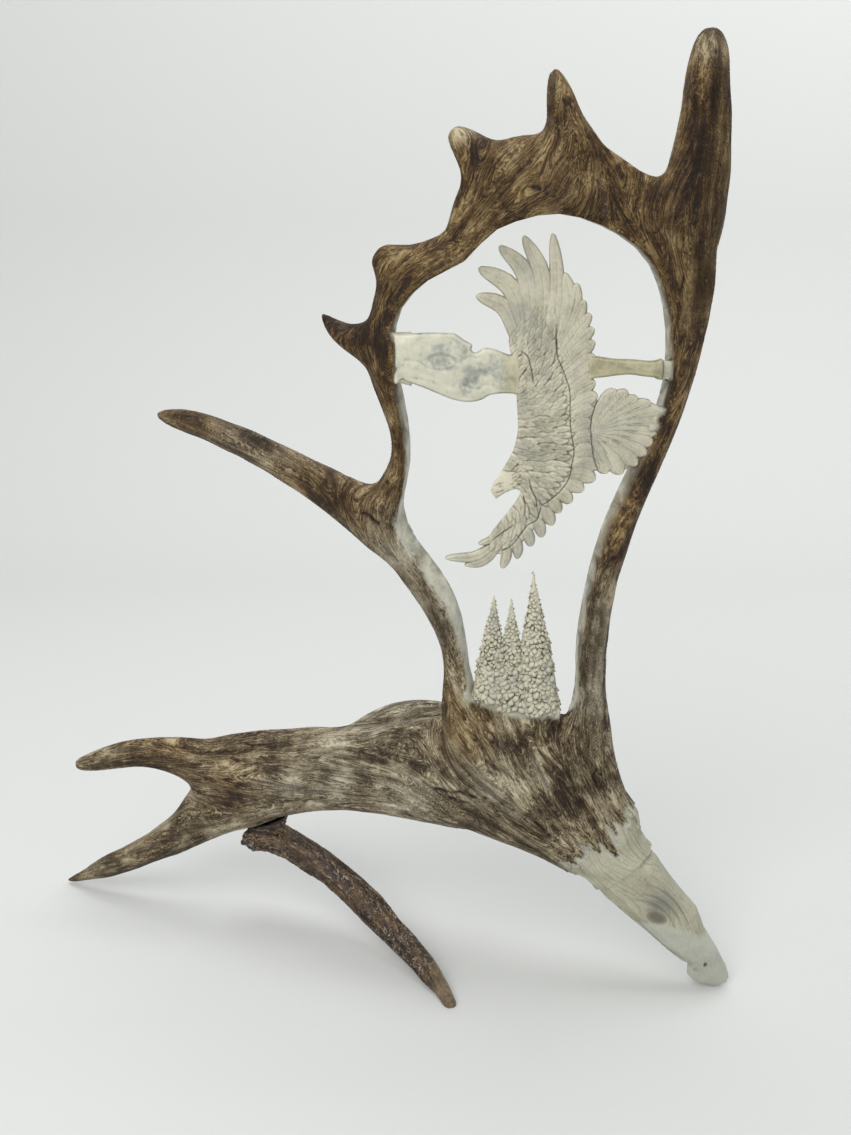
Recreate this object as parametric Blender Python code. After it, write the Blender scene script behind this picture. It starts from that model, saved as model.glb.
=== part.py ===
"""A carved moose antler that stands on three points.

The antler is one grown piece: a beam that ends in a carved eagle head, a brow palm with two
tines, and a main palm sawn through into a ring of rails, crown and tines. A flying eagle,
a band of cloud and a clump of conifers are left standing in the opening, and a small deer
antler is pegged under the brow palm as a leg. Z is up, the floor is at z = 0, and the
broad face of the palm looks along -Y. Stations and outlines are in millimetres.
"""

import math

import bmesh
import bpy
from mathutils import Matrix, Vector

MM = 0.001
KERF = 0.3                # gap between neighbouring pieces
RING_SPACING = 12.5       # distance between a limb's cross-sections
LIMB_SIDES = 12           # corners of a limb's cross-section
SECTION_SQUARENESS = 0.85  # 1 is an ellipse, less is flatter faced
CARVING_THICKNESS = 9.0   # flying eagle and conifers
CLOUD_THICKNESS = 7.0
OPENING_SLOPE = 0.003     # how fast the sawn opening widens towards the front, per mm
OPENING_BACK = -40.0      # depth at which the opening has its plain outline
OPENING_PIVOT = (110.0, 500.0)   # the corner of the opening that stays square to the face
FLOOR_BLOCK = 700.0
CENTRE_SHIFT = Vector((2.9, -3.0, 0.0))   # puts the origin under the middle of the whole
SAWDUST = 60.0            # a body smaller than this, in cubic mm, is a chip left by a cut

# The middle surface of the main palm is a shallow curved sheet.
PALM_CENTRE_X = 102.0
PALM_DEPTH = -54.0
PALM_CURVE_WIDTH = 90.0
PALM_CURVE_DEPTH = 36.0

BROW_FACING = Vector((-0.33, -0.90, 0.25))
LEG_FACING = Vector((-0.45, -0.45, 0.75))
FRONT = Vector((0.0, -1.0, 0.0))

# Stations along each limb: x, y, z, half width across the palm, half thickness.
MAIN_BEAM = [
    (166, -49, 86, 29, 23), (150, -46, 105, 33, 25), (128, -43, 122, 37, 25),
    (100, -40, 138, 42, 23), (69, -33, 145, 41, 20), (41, -24, 143, 37, 18), (14, -15, 139, 33, 16),
]
EAGLE_HEAD = [
    (128, -43, 122, 30, 20), (147, -46, 108, 30, 22), (163, -49, 89, 27, 22),
    (178, -52, 72, 23, 20), (195, -54, 53, 20, 17), (208, -55, 35, 17, 14),
    (219, -56, 22, 16, 11), (227, -56, 11, 14, 8), (230, -56, 3, 9, 5),
]
REAR_SHOULDER = [
    (-26, 9, 133, 14, 7), (-8, 12, 140, 23, 9), (12, 12, 146, 29, 11),
    (38, 9, 148, 32, 12), (66, -4, 143, 30, 13), (92, -20, 136, 20, 11),
]
OPENING_SADDLE = [
    (58, -46, 168, 20, 9), (80, -50, 172, 26, 12), (104, -51, 170, 28, 13),
    (126, -51, 168, 26, 12), (142, -48, 164, 20, 10),
]
BROW_PALM = [
    (60, -31, 143, 38, 17), (18, -16, 139, 32, 16), (-23, -2, 134, 29, 15),
    (-52, 8, 128, 30, 14), (-80, 18, 120, 32, 13), (-102, 26, 112, 34, 12), (-122, 33, 103, 34, 10),
]
UPPER_BROW_TINE = [
    (-100, 27, 115, 23, 11), (-122, 36, 120, 19, 11), (-145, 43, 124, 14, 10),
    (-165, 48, 124, 11, 9), (-184, 52, 121, 10, 8), (-203, 56, 115, 8, 7), (-219, 59, 110, 6, 5),
]
LOWER_BROW_TINE = [
    (-100, 27, 106, 30, 11), (-117, 34, 90, 24, 11), (-137, 42, 69, 16, 10),
    (-161, 50, 51, 12, 9), (-183, 59, 36, 10, 8), (-205, 68, 23, 9, 7),
    (-225, 77, 11, 6, 5), (-241, 84, 2, 4, 4),
]
FRONT_LIMB = [
    (76, -42, 142, 20, 14), (61, -48, 180, 16, 11), (58, -50, 204, 13, 9), (58, -50, 235, 13, 8),
    (49, -48, 264, 16, 8), (34, -46, 289, 18, 8), (20, -43, 309, 18, 8), (15, -42, 330, 15, 8),
    (24, -45, 355, 10, 8), (22, -45, 380, 11, 8), (14, -43, 402, 12, 8), (11, -43, 425, 13, 7),
    (17, -45, 450, 15, 7), (26, -48, 464, 17, 7), (42, -51, 470, 18, 7), (58, -55, 477, 18, 7),
    (68, -57, 494, 22, 7), (83, -59, 514, 28, 7), (102, -60, 517, 27, 7), (118, -59, 516, 24, 7),
    (130, -58, 508, 20, 7),
]
REAR_LIMB = [
    (146, -47, 120, 24, 17), (140, -50, 160, 18, 13), (137, -51, 195, 15, 10), (136, -51, 222, 13, 9),
    (137, -52, 250, 13, 9), (141, -52, 280, 13, 8), (148, -51, 306, 13, 8), (158, -50, 334, 12, 8),
    (170, -47, 362, 12, 8), (180, -46, 391, 12, 8), (186, -45, 419, 14, 8), (188, -44, 441, 17, 8),
    (186, -45, 461, 22, 8), (180, -47, 480, 26, 8), (165, -50, 494, 27, 8), (146, -55, 503, 24, 8),
    (124, -59, 515, 26, 7), (103, -60, 515, 26, 7),
]
TOP_TINE = [
    (184, -46, 488, 26, 8), (189, -46, 506, 23, 9), (192, -45, 524, 20, 10), (194, -45, 541, 17, 11),
    (195, -45, 558, 15, 11), (194, -46, 571, 13, 11), (195, -46, 584, 12, 10), (195, -46, 594, 9, 8),
]
CROWN_TINE_MIDDLE = [
    (122, -59, 512, 28, 7), (120, -59, 526, 22, 7), (116, -60, 540, 15, 8), (112, -60, 553, 10, 7),
    (110, -60, 564, 8, 6), (107, -60, 574, 5, 5),
]
CROWN_TINE_FRONT = [
    (86, -58, 506, 24, 7), (75, -58, 519, 19, 7), (65, -58, 530, 14, 7), (57, -57, 538, 10, 6),
    (52, -56, 543, 7, 5),
]
CROWN_BUMP = [
    (34, -50, 458, 20, 7), (22, -48, 466, 18, 7), (14, -46, 472, 14, 6), (9, -45, 476, 10, 5),
]
CROWN_TINE_SIDE = [
    (17, -44, 424, 22, 7), (6, -42, 424, 18, 7), (-4, -38, 427, 12, 6), (-13, -36, 430, 9, 6),
    (-21, -34, 435, 6, 5), (-26, -32, 441, 4, 4),
]
LONG_TINE = [
    (32, -46, 306, 28, 8), (20, -43, 312, 25, 9), (6, -40, 318, 21, 10), (-9, -35, 325, 16, 10),
    (-25, -30, 334, 13, 10), (-48, -23, 346, 11, 9), (-71, -15, 357, 10, 9), (-95, -7, 366, 9, 8),
    (-112, 0, 371, 8, 8), (-128, 5, 374, 7, 6), (-135, 8, 375, 5, 5),
]
DEER_LEG = [
    (-91, 35, 72, 14, 13), (-84, 33, 69, 14, 12), (-74, 30, 66, 11, 11), (-62, 26, 62, 10, 10),
    (-40, 16, 53, 10, 10), (-23, 6, 44, 10, 10), (-4, -8, 32, 10, 9), (11, -22, 22, 9, 8),
    (25, -36, 15, 8, 7), (38, -53, 8, 7, 6), (46, -66, 4, 5, 5), (51, -78, 1, 4, 4),
]
LEG_FLANK = [(-80, 31, 62, 8, 8), (-78, 27, 78, 12, 11), (-78, 23, 92, 16, 12), (-78, 21, 102, 16, 9)]

# The sawn opening of the main palm, and the carved figures in it: x, z.
OPENING = [
    (111, 500), (78, 492), (60, 475), (39, 464), (21, 446), (16, 424), (19, 402), (24, 378), (25, 352),
    (20, 322), (27, 305), (38, 293), (50, 277), (58, 258), (62, 237), (66, 216), (81, 202),
    (104, 194), (124, 194),
    (130, 212), (130, 246), (136, 290), (146, 324), (157, 348), (170, 374), (177, 396), (179, 420),
    (176, 446), (165, 472), (145, 489),
]
FLYING_EAGLE = [
    (86, 432), (82, 441), (66, 454), (76, 455), (66, 470), (79, 468), (77, 482), (90, 474), (91, 488),
    (103, 477), (109, 490), (117, 475), (121, 464), (130, 443), (134, 426), (135, 410), (138, 402),
    (148, 400), (160, 398), (170, 391), (180, 386), (180, 377), (168, 374), (162, 361), (153, 348),
    (140, 348),
    (138, 342), (122, 334), (105, 309), (82, 288), (59, 290), (48, 296), (69, 304), (81, 319),
    (93, 337), (84, 335), (76, 335), (77, 344), (84, 355), (90, 364), (90, 386), (88, 405), (82, 426),
]
CLOUD_LEFT = [
    (6, 432), (50, 433), (62, 427), (62, 421), (88, 420), (96, 408), (88, 397), (69, 394), (60, 392),
    (46, 394), (31, 400), (8, 406),
]
CLOUD_RIGHT = [(128, 420), (186, 415), (186, 405), (168, 405), (151, 407), (128, 406)]
CONIFER_CLUMP = [
    (71, 188), (69, 232), (78, 271), (84, 244), (88, 269), (94, 244), (102, 286), (118, 222),
    (121, 186), (96, 180),
]

# Where the grown piece is parted at its forks: name, centre, direction across the cut, reach
# along the cut and in depth.
CUTS = {
    "neck": ((147, -47, 114), (0.80, 0.0, -0.60), 48, 40),
    "brow": ((-25, 2, 132), (0.93, -0.35, 0.0), 50, 40),
    "upper_brow_tine": ((-138, 41, 123), (0.99, 0.0, -0.12), 24, 30),
    "lower_brow_tine": ((-130, 39, 76), (0.72, 0.0, 0.69), 25, 30),
    "front_rail_foot": ((56, -50, 222), (0.12, 0.0, -0.99), 22, 22),
    "rear_rail_foot": ((137, -51, 216), (0.0, 0.0, 1.0), 22, 22),
    "long_tine": ((-8, -36, 325), (0.91, -0.25, -0.42), 24, 26),
    "front_rail_head": ((21, -44, 384), (-0.18, 0.0, 0.98), 18, 22),
    "rear_rail_head": ((187, -45, 428), (0.12, 0.0, 0.99), 24, 22),
    "crown": ((101, -60, 520), (1.0, 0.0, 0.06), 38, 22),
    "crown_tine_side": ((-4, -39, 427), (0.94, -0.20, -0.30), 18, 22),
    "crown_tine_front": ((64, -58, 531), (0.67, 0.0, -0.74), 20, 22),
    "crown_tine_middle": ((117, -60, 536), (0.26, 0.0, -0.97), 24, 22),
    "top_tine": ((194, -45, 538), (0.06, 0.0, 1.0), 28, 22),
    "cloud_left_root": ((27, -50, 416), (1.0, 0.0, 0.0), 24, 14),
    "cloud_left_wing": ((79, -50, 409), (1.0, 0.0, 0.0), 22, 14),
    "cloud_right_wing": ((141, -50, 413), (1.0, 0.0, 0.0), 12, 14),
    "cloud_right_root": ((172, -50, 411), (1.0, 0.0, 0.0), 12, 14),
    "tail_root": ((169, -50, 383.5), (1.0, 0.0, 0.0), 10.5, 14),
    "conifer_foot": ((95, -50, 208), (0.40, 0.0, 0.917), 32, 14),
    "leg_joint": ((-78, 24, 83), (-0.40, 0.0, 0.92), 30, 30),
}

# Each piece of the finished object: a point on it that tells it from the rest, and its look.
PIECES = {
    "beam": ((100, -62, 138), "bark"),
    "eagle_head": ((195, -66, 53), "ivory"),
    "brow_palm": ((-60, -4, 126), "bark"),
    "upper_brow_tine": ((-165, 40, 124), "bark"),
    "lower_brow_tine": ((-183, 52, 36), "bark"),
    "front_rail": ((40, -56, 270), "bark"),
    "long_front_tine": ((-60, -28, 352), "bark"),
    "front_crown": ((40, -58, 475), "bark"),
    "side_crown_tine": ((-13, -42, 430), "bark"),
    "front_crown_tine": ((60, -63, 539), "bark"),
    "middle_crown_tine": ((110, -66, 562), "bark"),
    "rear_crown": ((170, -56, 500), "bark"),
    "top_tine": ((195, -56, 565), "bark"),
    "rear_rail": ((150, -58, 310), "bark"),
    "flying_eagle": ((109, -54, 489), "ivory"),
    "cloud_left": ((50, -53, 412), "ivory"),
    "cloud_right": ((160, -53, 411), "ivory"),
    "conifers": ((96, -54, 235), "ivory"),
    "deer_antler_leg": ((-30, 0, 47), "deer_antler"),
}

# Colour, roughness of each look.
LOOKS = {
    "bark": ((0.20, 0.14, 0.09), 0.62),
    "ivory": ((0.72, 0.68, 0.58), 0.50),
    "deer_antler": ((0.13, 0.07, 0.035), 0.50),
}


def clear_scene():
    for old in list(bpy.data.objects):
        bpy.data.objects.remove(old, do_unlink=True)


def new_collection(name):
    collection = bpy.data.collections.new(name)
    bpy.context.scene.collection.children.link(collection)
    return collection


def palm_depth(x):
    """Depth of the main palm's middle surface above or below its deepest line."""
    reach = (x - PALM_CENTRE_X) / PALM_CURVE_WIDTH
    return PALM_DEPTH + PALM_CURVE_DEPTH * (math.sqrt(1 + reach * reach) - 1)


def palm_facing(point):
    """Direction that the curved main palm faces at a point."""
    slope = palm_depth(point.x + 0.5) - palm_depth(point.x - 0.5)
    return Vector((slope, -1.0, 0.0)).normalized()


def spline(points, spacing, closed=False):
    """Points of any dimension on a smooth curve through the given ones, about evenly spaced."""
    count = len(points)
    spans = count if closed else count - 1
    result = []
    for span in range(spans):
        if closed:
            before, start, end, after = [points[(span + k) % count] for k in (-1, 0, 1, 2)]
        else:
            before, start, end, after = [points[min(max(span + k, 0), count - 1)] for k in (-1, 0, 1, 2)]
        steps = max(1, round(math.dist(start[:3], end[:3]) / spacing))
        for step in range(steps):
            t = step / steps
            result.append([
                0.5 * (2 * b + (c - a) * t + (2 * a - 5 * b + 4 * c - d) * t * t
                       + (3 * b - 3 * c + d - a) * t * t * t)
                for a, b, c, d in zip(before, start, end, after)
            ])
    if not closed:
        result.append(list(points[-1]))
    return result


def rounded(value, squareness):
    return math.copysign(abs(value) ** squareness, value)


def new_object(name, bm, collection):
    """Turns a bmesh in millimetres into an object in metres."""
    bmesh.ops.recalc_face_normals(bm, faces=bm.faces)
    if bm.calc_volume(signed=True) < 0:
        bmesh.ops.reverse_faces(bm, faces=bm.faces)
    bmesh.ops.scale(bm, vec=Vector((MM, MM, MM)), verts=bm.verts)
    mesh = bpy.data.meshes.new(name)
    bm.to_mesh(mesh)
    bm.free()
    thing = bpy.data.objects.new(name, mesh)
    collection.objects.link(thing)
    return thing


def limb(name, stations, facing, collection):
    """A solid of rounded cross-sections along a smooth path, with a domed tip at its last station.

    facing is a direction, or a function that gives one at a point of the path.
    """
    path = spline(stations, RING_SPACING)
    centres = [Vector(row[:3]) for row in path]
    last = len(path) - 1
    rings = []
    for i, row in enumerate(path):
        tangent = (centres[min(i + 1, last)] - centres[max(i - 1, 0)]).normalized()
        front = facing(centres[i]) if callable(facing) else facing
        front = (front - tangent * front.dot(tangent)).normalized()
        rings.append((centres[i], tangent, tangent.cross(front), front, row[3], row[4]))
    centre, tangent, side, front, width, thickness = rings[-1]
    for angle in (35, 65):
        turn = math.radians(angle)
        step = tangent * math.sin(turn) * min(width, thickness)
        rings.append((centre + step, tangent, side, front, width * math.cos(turn), thickness * math.cos(turn)))
    bm = bmesh.new()
    loops = []
    for centre, tangent, side, front, width, thickness in rings:
        loop = []
        for corner in range(LIMB_SIDES):
            angle = 2 * math.pi * corner / LIMB_SIDES
            across = side * width * rounded(math.cos(angle), SECTION_SQUARENESS)
            through = front * thickness * rounded(math.sin(angle), SECTION_SQUARENESS)
            loop.append(bm.verts.new(centre + across + through))
        loops.append(loop)
    for lower, upper in zip(loops, loops[1:]):
        for k in range(LIMB_SIDES):
            n = (k + 1) % LIMB_SIDES
            bm.faces.new((lower[k], lower[n], upper[n], upper[k]))
    bm.faces.new(loops[0])
    bm.faces.new(loops[-1])
    return new_object(name, bm, collection)


def plate(name, outline, thickness, spacing, collection):
    """A flat figure with the given outline, as thick as the carving, in the opening's mid depth."""
    curve = bpy.data.curves.new(name, "CURVE")
    curve.dimensions = "2D"
    curve.fill_mode = "BOTH"
    curve.extrude = thickness / 2 * MM
    points = spline(outline, spacing, closed=True)
    path = curve.splines.new("POLY")
    path.points.add(len(points) - 1)
    for point, (x, z) in zip(path.points, points):
        point.co = (x * MM, z * MM, 0.0, 1.0)
    path.use_cyclic_u = True
    guide = bpy.data.objects.new(name + "_outline", curve)
    collection.objects.link(guide)
    bpy.context.view_layer.update()
    depsgraph = bpy.context.evaluated_depsgraph_get()
    mesh = bpy.data.meshes.new_from_object(guide.evaluated_get(depsgraph))
    mesh.transform(Matrix.Translation((0.0, -50.0 * MM, 0.0)) @ Matrix.Rotation(math.radians(90), 4, "X"))
    bm = bmesh.new()
    bm.from_mesh(mesh)
    bmesh.ops.remove_doubles(bm, verts=bm.verts, dist=0.02 * MM)
    bmesh.ops.recalc_face_normals(bm, faces=bm.faces)
    bm.to_mesh(mesh)
    bm.free()
    thing = bpy.data.objects.new(name, mesh)
    collection.objects.link(thing)
    bpy.data.objects.remove(guide)
    return thing


def opening_cutter(collection):
    """The sawn opening: its outline grows towards the front, away from one corner."""
    outline = spline(OPENING, 12.0, closed=True)
    bm = bmesh.new()
    loops = []
    for depth in (-110.0, 20.0):
        scale = 1.0 + (OPENING_BACK - depth) * OPENING_SLOPE
        loop = []
        for x, z in outline:
            grown_x = OPENING_PIVOT[0] + (x - OPENING_PIVOT[0]) * scale
            grown_z = OPENING_PIVOT[1] + (z - OPENING_PIVOT[1]) * scale
            loop.append(bm.verts.new((grown_x, depth, grown_z)))
        loops.append(loop)
    edges = []
    for loop in loops:
        face = bm.faces.new(loop)
        edges.extend(face.edges)
    bmesh.ops.bridge_loops(bm, edges=edges)
    return new_object("opening_cutter", bm, collection)


def box_cutter(name, centre, across, sizes, collection):
    """A box whose thin side lies along a direction."""
    normal = Vector(across).normalized()
    deep = (FRONT - normal * FRONT.dot(normal)).normalized()
    along = deep.cross(normal)
    turn = Matrix((along, deep, normal)).transposed().to_4x4()
    bm = bmesh.new()
    bmesh.ops.create_cube(bm, size=1.0)
    bmesh.ops.scale(bm, vec=Vector(sizes), verts=bm.verts)
    bmesh.ops.transform(bm, matrix=Matrix.Translation(centre) @ turn, verts=bm.verts)
    return new_object(name, bm, collection)


def combine(target, tools, operation):
    """Joins tools to target or cuts them from it, and keeps the result as target's mesh.

    The exact solver loses the whole body at the sawn opening, so this uses the manifold one.
    """
    for tool in tools:
        boolean = target.modifiers.new(tool.name, "BOOLEAN")
        boolean.operation = operation
        boolean.solver = "MANIFOLD"
        boolean.object = tool
    bpy.context.view_layer.update()
    depsgraph = bpy.context.evaluated_depsgraph_get()
    mesh = bpy.data.meshes.new_from_object(target.evaluated_get(depsgraph))
    target.modifiers.clear()
    target.data = mesh
    for tool in tools:
        tool.hide_render = True
        tool.display_type = "WIRE"


def loose_parts(mesh):
    """The mesh's separate bodies, each as a bmesh."""
    bm = bmesh.new()
    bm.from_mesh(mesh)
    bm.verts.ensure_lookup_table()
    body = [-1] * len(bm.verts)
    count = 0
    for seed in bm.verts:
        if body[seed.index] >= 0:
            continue
        stack = [seed]
        body[seed.index] = count
        while stack:
            vert = stack.pop()
            for edge in vert.link_edges:
                other = edge.other_vert(vert)
                if body[other.index] < 0:
                    body[other.index] = count
                    stack.append(other)
        count += 1
    bm.free()
    parts = []
    for wanted in range(count):
        part = bmesh.new()
        part.from_mesh(mesh)
        part.verts.ensure_lookup_table()
        others = [v for v in part.verts if body[v.index] != wanted]
        bmesh.ops.delete(part, geom=others, context="VERTS")
        parts.append(part)
    return parts


def look_material(name, look):
    colour, roughness = LOOKS[look]
    material = bpy.data.materials.new(name)
    material.use_nodes = True
    shader = material.node_tree.nodes["Principled BSDF"]
    shader.inputs["Base Color"].default_value = (*colour, 1.0)
    shader.inputs["Roughness"].default_value = roughness
    shader.inputs["Metallic"].default_value = 0.0
    material.diffuse_color = (*colour, 1.0)
    return material


def nearest_piece(part):
    """Name of the piece whose marker point lies closest to the body."""
    def distance(item):
        marker = Vector(item[1][0]) * MM
        return min((v.co - marker).length for v in part.verts)
    return min(PIECES.items(), key=distance)[0]


def add_piece(name, part, parent, collection):
    """One named object of the finished part, with its origin at its marker point."""
    marker, look = PIECES[name]
    origin = Vector(marker) * MM
    bmesh.ops.translate(part, vec=-origin, verts=part.verts)
    mesh = bpy.data.meshes.new(name)
    part.to_mesh(mesh)
    part.free()
    mesh.shade_smooth()
    mesh.set_sharp_from_angle(angle=math.radians(40))
    mesh.materials.clear()
    mesh.materials.append(look_material(name, look))
    piece = bpy.data.objects.new(name, mesh)
    piece.location = origin
    piece.parent = parent
    collection.objects.link(piece)


def build():
    clear_scene()
    parts = new_collection("carved_moose_antler")
    cutters = new_collection("cutters")
    root = bpy.data.objects.new("carved_moose_antler_root", None)
    root.location = CENTRE_SHIFT * MM
    parts.objects.link(root)

    grown = limb("grown_piece", MAIN_BEAM, FRONT, cutters)
    limbs = [
        limb("head_limb", EAGLE_HEAD, FRONT, cutters),
        limb("shoulder_limb", REAR_SHOULDER, FRONT, cutters),
        limb("saddle_limb", OPENING_SADDLE, FRONT, cutters),
        limb("brow_limb", BROW_PALM, BROW_FACING, cutters),
        limb("upper_brow_limb", UPPER_BROW_TINE, BROW_FACING, cutters),
        limb("lower_brow_limb", LOWER_BROW_TINE, BROW_FACING, cutters),
        limb("front_limb", FRONT_LIMB, palm_facing, cutters),
        limb("rear_limb", REAR_LIMB, palm_facing, cutters),
        limb("top_limb", TOP_TINE, palm_facing, cutters),
        limb("middle_crown_limb", CROWN_TINE_MIDDLE, palm_facing, cutters),
        limb("front_crown_limb", CROWN_TINE_FRONT, palm_facing, cutters),
        limb("side_crown_limb", CROWN_TINE_SIDE, palm_facing, cutters),
        limb("crown_bump_limb", CROWN_BUMP, palm_facing, cutters),
        limb("long_limb", LONG_TINE, palm_facing, cutters),
    ]
    combine(grown, limbs, "UNION")
    combine(grown, [opening_cutter(cutters)], "DIFFERENCE")
    figures = [
        plate("eagle_plate", FLYING_EAGLE, CARVING_THICKNESS, 40.0, cutters),
        plate("cloud_left_plate", CLOUD_LEFT, CLOUD_THICKNESS, 40.0, cutters),
        plate("cloud_right_plate", CLOUD_RIGHT, CLOUD_THICKNESS, 40.0, cutters),
        plate("conifer_plate", CONIFER_CLUMP, CARVING_THICKNESS, 40.0, cutters),
        limb("leg_limb", DEER_LEG, LEG_FACING, cutters),
        limb("leg_flank", LEG_FLANK, FRONT, cutters),
    ]
    combine(grown, figures, "UNION")
    floor_centre = (0.0, 0.0, -FLOOR_BLOCK / 2)
    floor = box_cutter("floor_cutter", floor_centre, (0, 0, 1), (FLOOR_BLOCK,) * 3, cutters)
    saws = [
        box_cutter(name + "_cut", centre, across, (2 * reach, 2 * depth, KERF), cutters)
        for name, (centre, across, reach, depth) in CUTS.items()
    ]
    combine(grown, [floor] + saws, "DIFFERENCE")

    for part in loose_parts(grown.data):
        if part.calc_volume() > SAWDUST * MM ** 3:
            add_piece(nearest_piece(part), part, root, parts)
        else:
            part.free()
    grown.hide_render = True
    grown.display_type = "WIRE"


build()
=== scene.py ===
"""Looks of a carved moose antler: bark and saw-cut ivory core, eagle head, flying eagle, clouds,
conifers and a deer antler leg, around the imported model."""
import math

import bmesh
import bpy
import numpy as np
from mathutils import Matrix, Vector, noise
from mathutils.bvhtree import BVHTree
from mathutils.kdtree import KDTree


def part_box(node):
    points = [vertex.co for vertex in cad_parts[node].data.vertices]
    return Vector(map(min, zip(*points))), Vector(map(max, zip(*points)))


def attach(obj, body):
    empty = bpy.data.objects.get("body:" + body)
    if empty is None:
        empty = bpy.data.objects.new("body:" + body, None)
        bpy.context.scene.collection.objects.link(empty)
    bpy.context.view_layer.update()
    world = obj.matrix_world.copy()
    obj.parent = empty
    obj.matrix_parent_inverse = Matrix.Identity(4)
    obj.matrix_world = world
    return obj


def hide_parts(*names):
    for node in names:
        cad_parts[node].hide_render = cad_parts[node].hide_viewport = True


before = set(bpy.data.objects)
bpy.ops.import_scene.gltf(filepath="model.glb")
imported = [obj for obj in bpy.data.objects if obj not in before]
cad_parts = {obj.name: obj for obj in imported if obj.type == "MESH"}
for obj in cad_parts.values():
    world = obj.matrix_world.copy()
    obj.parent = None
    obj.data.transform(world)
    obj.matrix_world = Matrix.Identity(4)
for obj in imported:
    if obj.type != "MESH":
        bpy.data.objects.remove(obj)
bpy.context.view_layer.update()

MM = 0.001


# ---------------------------------------------------------------------------------------------
# Studio: a seamless pale sweep under soft daylight from the upper left, and the camera that
# looks slightly down on the antler's carved face.
CAMERA_PLACE = (0.0379, -0.829, 0.497)
CAMERA_PITCH = 15.0
CAMERA_LENS = 41.23
SWEEP_BACK = 0.95
SWEEP_RADIUS = 0.5
SWEEP_SIDE = 4.0
SWEEP_COLOUR = (0.66, 0.665, 0.65)


def in_scene(name, data):
    """A new object of the scene that holds a mesh, a lamp or a camera."""
    thing = bpy.data.objects.new(name, data)
    bpy.context.scene.collection.objects.link(thing)
    return thing


sweep_bm = bmesh.new()
sweep_profile = [(-3.0, 0.0), (SWEEP_BACK, 0.0)]
for sweep_step in range(1, 13):
    sweep_angle = math.radians(90 * sweep_step / 12)
    sweep_profile.append((SWEEP_BACK + SWEEP_RADIUS * math.sin(sweep_angle),
                          SWEEP_RADIUS * (1 - math.cos(sweep_angle))))
sweep_profile.append((SWEEP_BACK + SWEEP_RADIUS, 3.0))
sweep_rows = [[sweep_bm.verts.new((x, y, z)) for x in (-SWEEP_SIDE, SWEEP_SIDE)] for y, z in sweep_profile]
for low_row, high_row in zip(sweep_rows, sweep_rows[1:]):
    sweep_bm.faces.new((low_row[0], low_row[1], high_row[1], high_row[0]))
sweep_mesh = bpy.data.meshes.new("studio_sweep")
sweep_bm.to_mesh(sweep_mesh)
sweep_bm.free()
sweep_mesh.shade_smooth()
studio_sweep = in_scene("studio_sweep", sweep_mesh)
paper = bpy.data.materials.new("studio_paper")
paper.use_nodes = True
paper_shader = paper.node_tree.nodes["Principled BSDF"]
paper_shader.inputs["Base Color"].default_value = (*SWEEP_COLOUR, 1.0)
paper_shader.inputs["Roughness"].default_value = 0.9
paper_shader.inputs["Specular IOR Level"].default_value = 0.1
sweep_mesh.materials.append(paper)


def soft_light(name, place, target, size, power, colour):
    """A square softbox aimed at a point."""
    lamp = bpy.data.lights.new(name, "AREA")
    lamp.shape = "SQUARE"
    lamp.size = size
    lamp.energy = power
    lamp.color = colour
    light = in_scene(name, lamp)
    light.location = place
    light.rotation_euler = (Vector(target) - Vector(place)).to_track_quat("-Z", "Y").to_euler()


soft_light("window_light", (-0.7, -1.7, 1.8), (0.05, 0.1, 0.2), 1.5, 34.0, (1.0, 0.99, 0.955))
soft_light("ceiling_light", (0.05, 0.15, 2.3), (0.05, 0.12, 0.0), 1.3, 20.0, (0.98, 0.99, 1.0))
soft_light("wall_wash", (1.3, 0.2, 1.5), (1.1, 1.5, 1.35), 0.8, 11.0, (1.0, 1.0, 0.98))
world = bpy.data.worlds.new("studio_air")
world.use_nodes = True
air = world.node_tree.nodes["Background"]
air.inputs["Color"].default_value = (0.93, 0.96, 1.0, 1.0)
air.inputs["Strength"].default_value = 0.5
bpy.context.scene.world = world

camera_data = bpy.data.cameras.new("camera")
camera_data.lens = CAMERA_LENS
camera = in_scene("camera", camera_data)
camera.location = CAMERA_PLACE
camera.rotation_euler = (math.radians(90.0 - CAMERA_PITCH), 0.0, 0.0)
bpy.context.scene.camera = camera
bpy.context.scene.view_settings.view_transform = "Standard"


# ---------------------------------------------------------------------------------------------
# The grown antler: one piece of bone with a thin brown bark, greyer and more worn on the beam.
# The grain runs from the beam out to every tine tip. The palm was sawn open, and the cut
# shows the ivory core.
BARK_NODES = ["beam", "brow_palm", "upper_brow_tine", "lower_brow_tine", "front_rail",
              "long_front_tine", "front_crown", "side_crown_tine", "front_crown_tine",
              "middle_crown_tine", "rear_crown", "top_tine", "rear_rail", "eagle_head"]
BARK_VOXEL = 1.05 * MM
BARK_TRIANGLES = 196000
SEAM_SWELL = 0.25 * MM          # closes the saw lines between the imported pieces
SAW_APEX = Vector((112.9, 290.3, 500.0)) * MM   # every plane of the sawn opening passes through it
SAW_TOLERANCE = 0.35 * MM
SAW_REACH = 0.24                # no face of the sawn wall lies farther from the opening's middle
SAW_SLIVER = 4e-7               # square metres; smaller faces don't count as sawn wall
WALL_SEARCH = 14 * MM
WALL_SECTORS = 72
GRAIN_STEP = 2.4 * MM
# How much of the sawn wall shows its ivory, counted from the back, at angles round the opening.
SAW_CENTRE = (105.0, 350.0)
IVORY_SHARE = [
    (-180, 0.75), (-160, 1.0), (-112, 1.0), (-98, 0.6), (-78, 0.5), (-68, 0.3), (-20, 0.25), (0, 0.3),
    (18, 0.5), (35, 0.55), (55, 0.4), (75, 0.25), (110, 0.25), (135, 0.3), (152, 0.5), (180, 0.75)]
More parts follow.
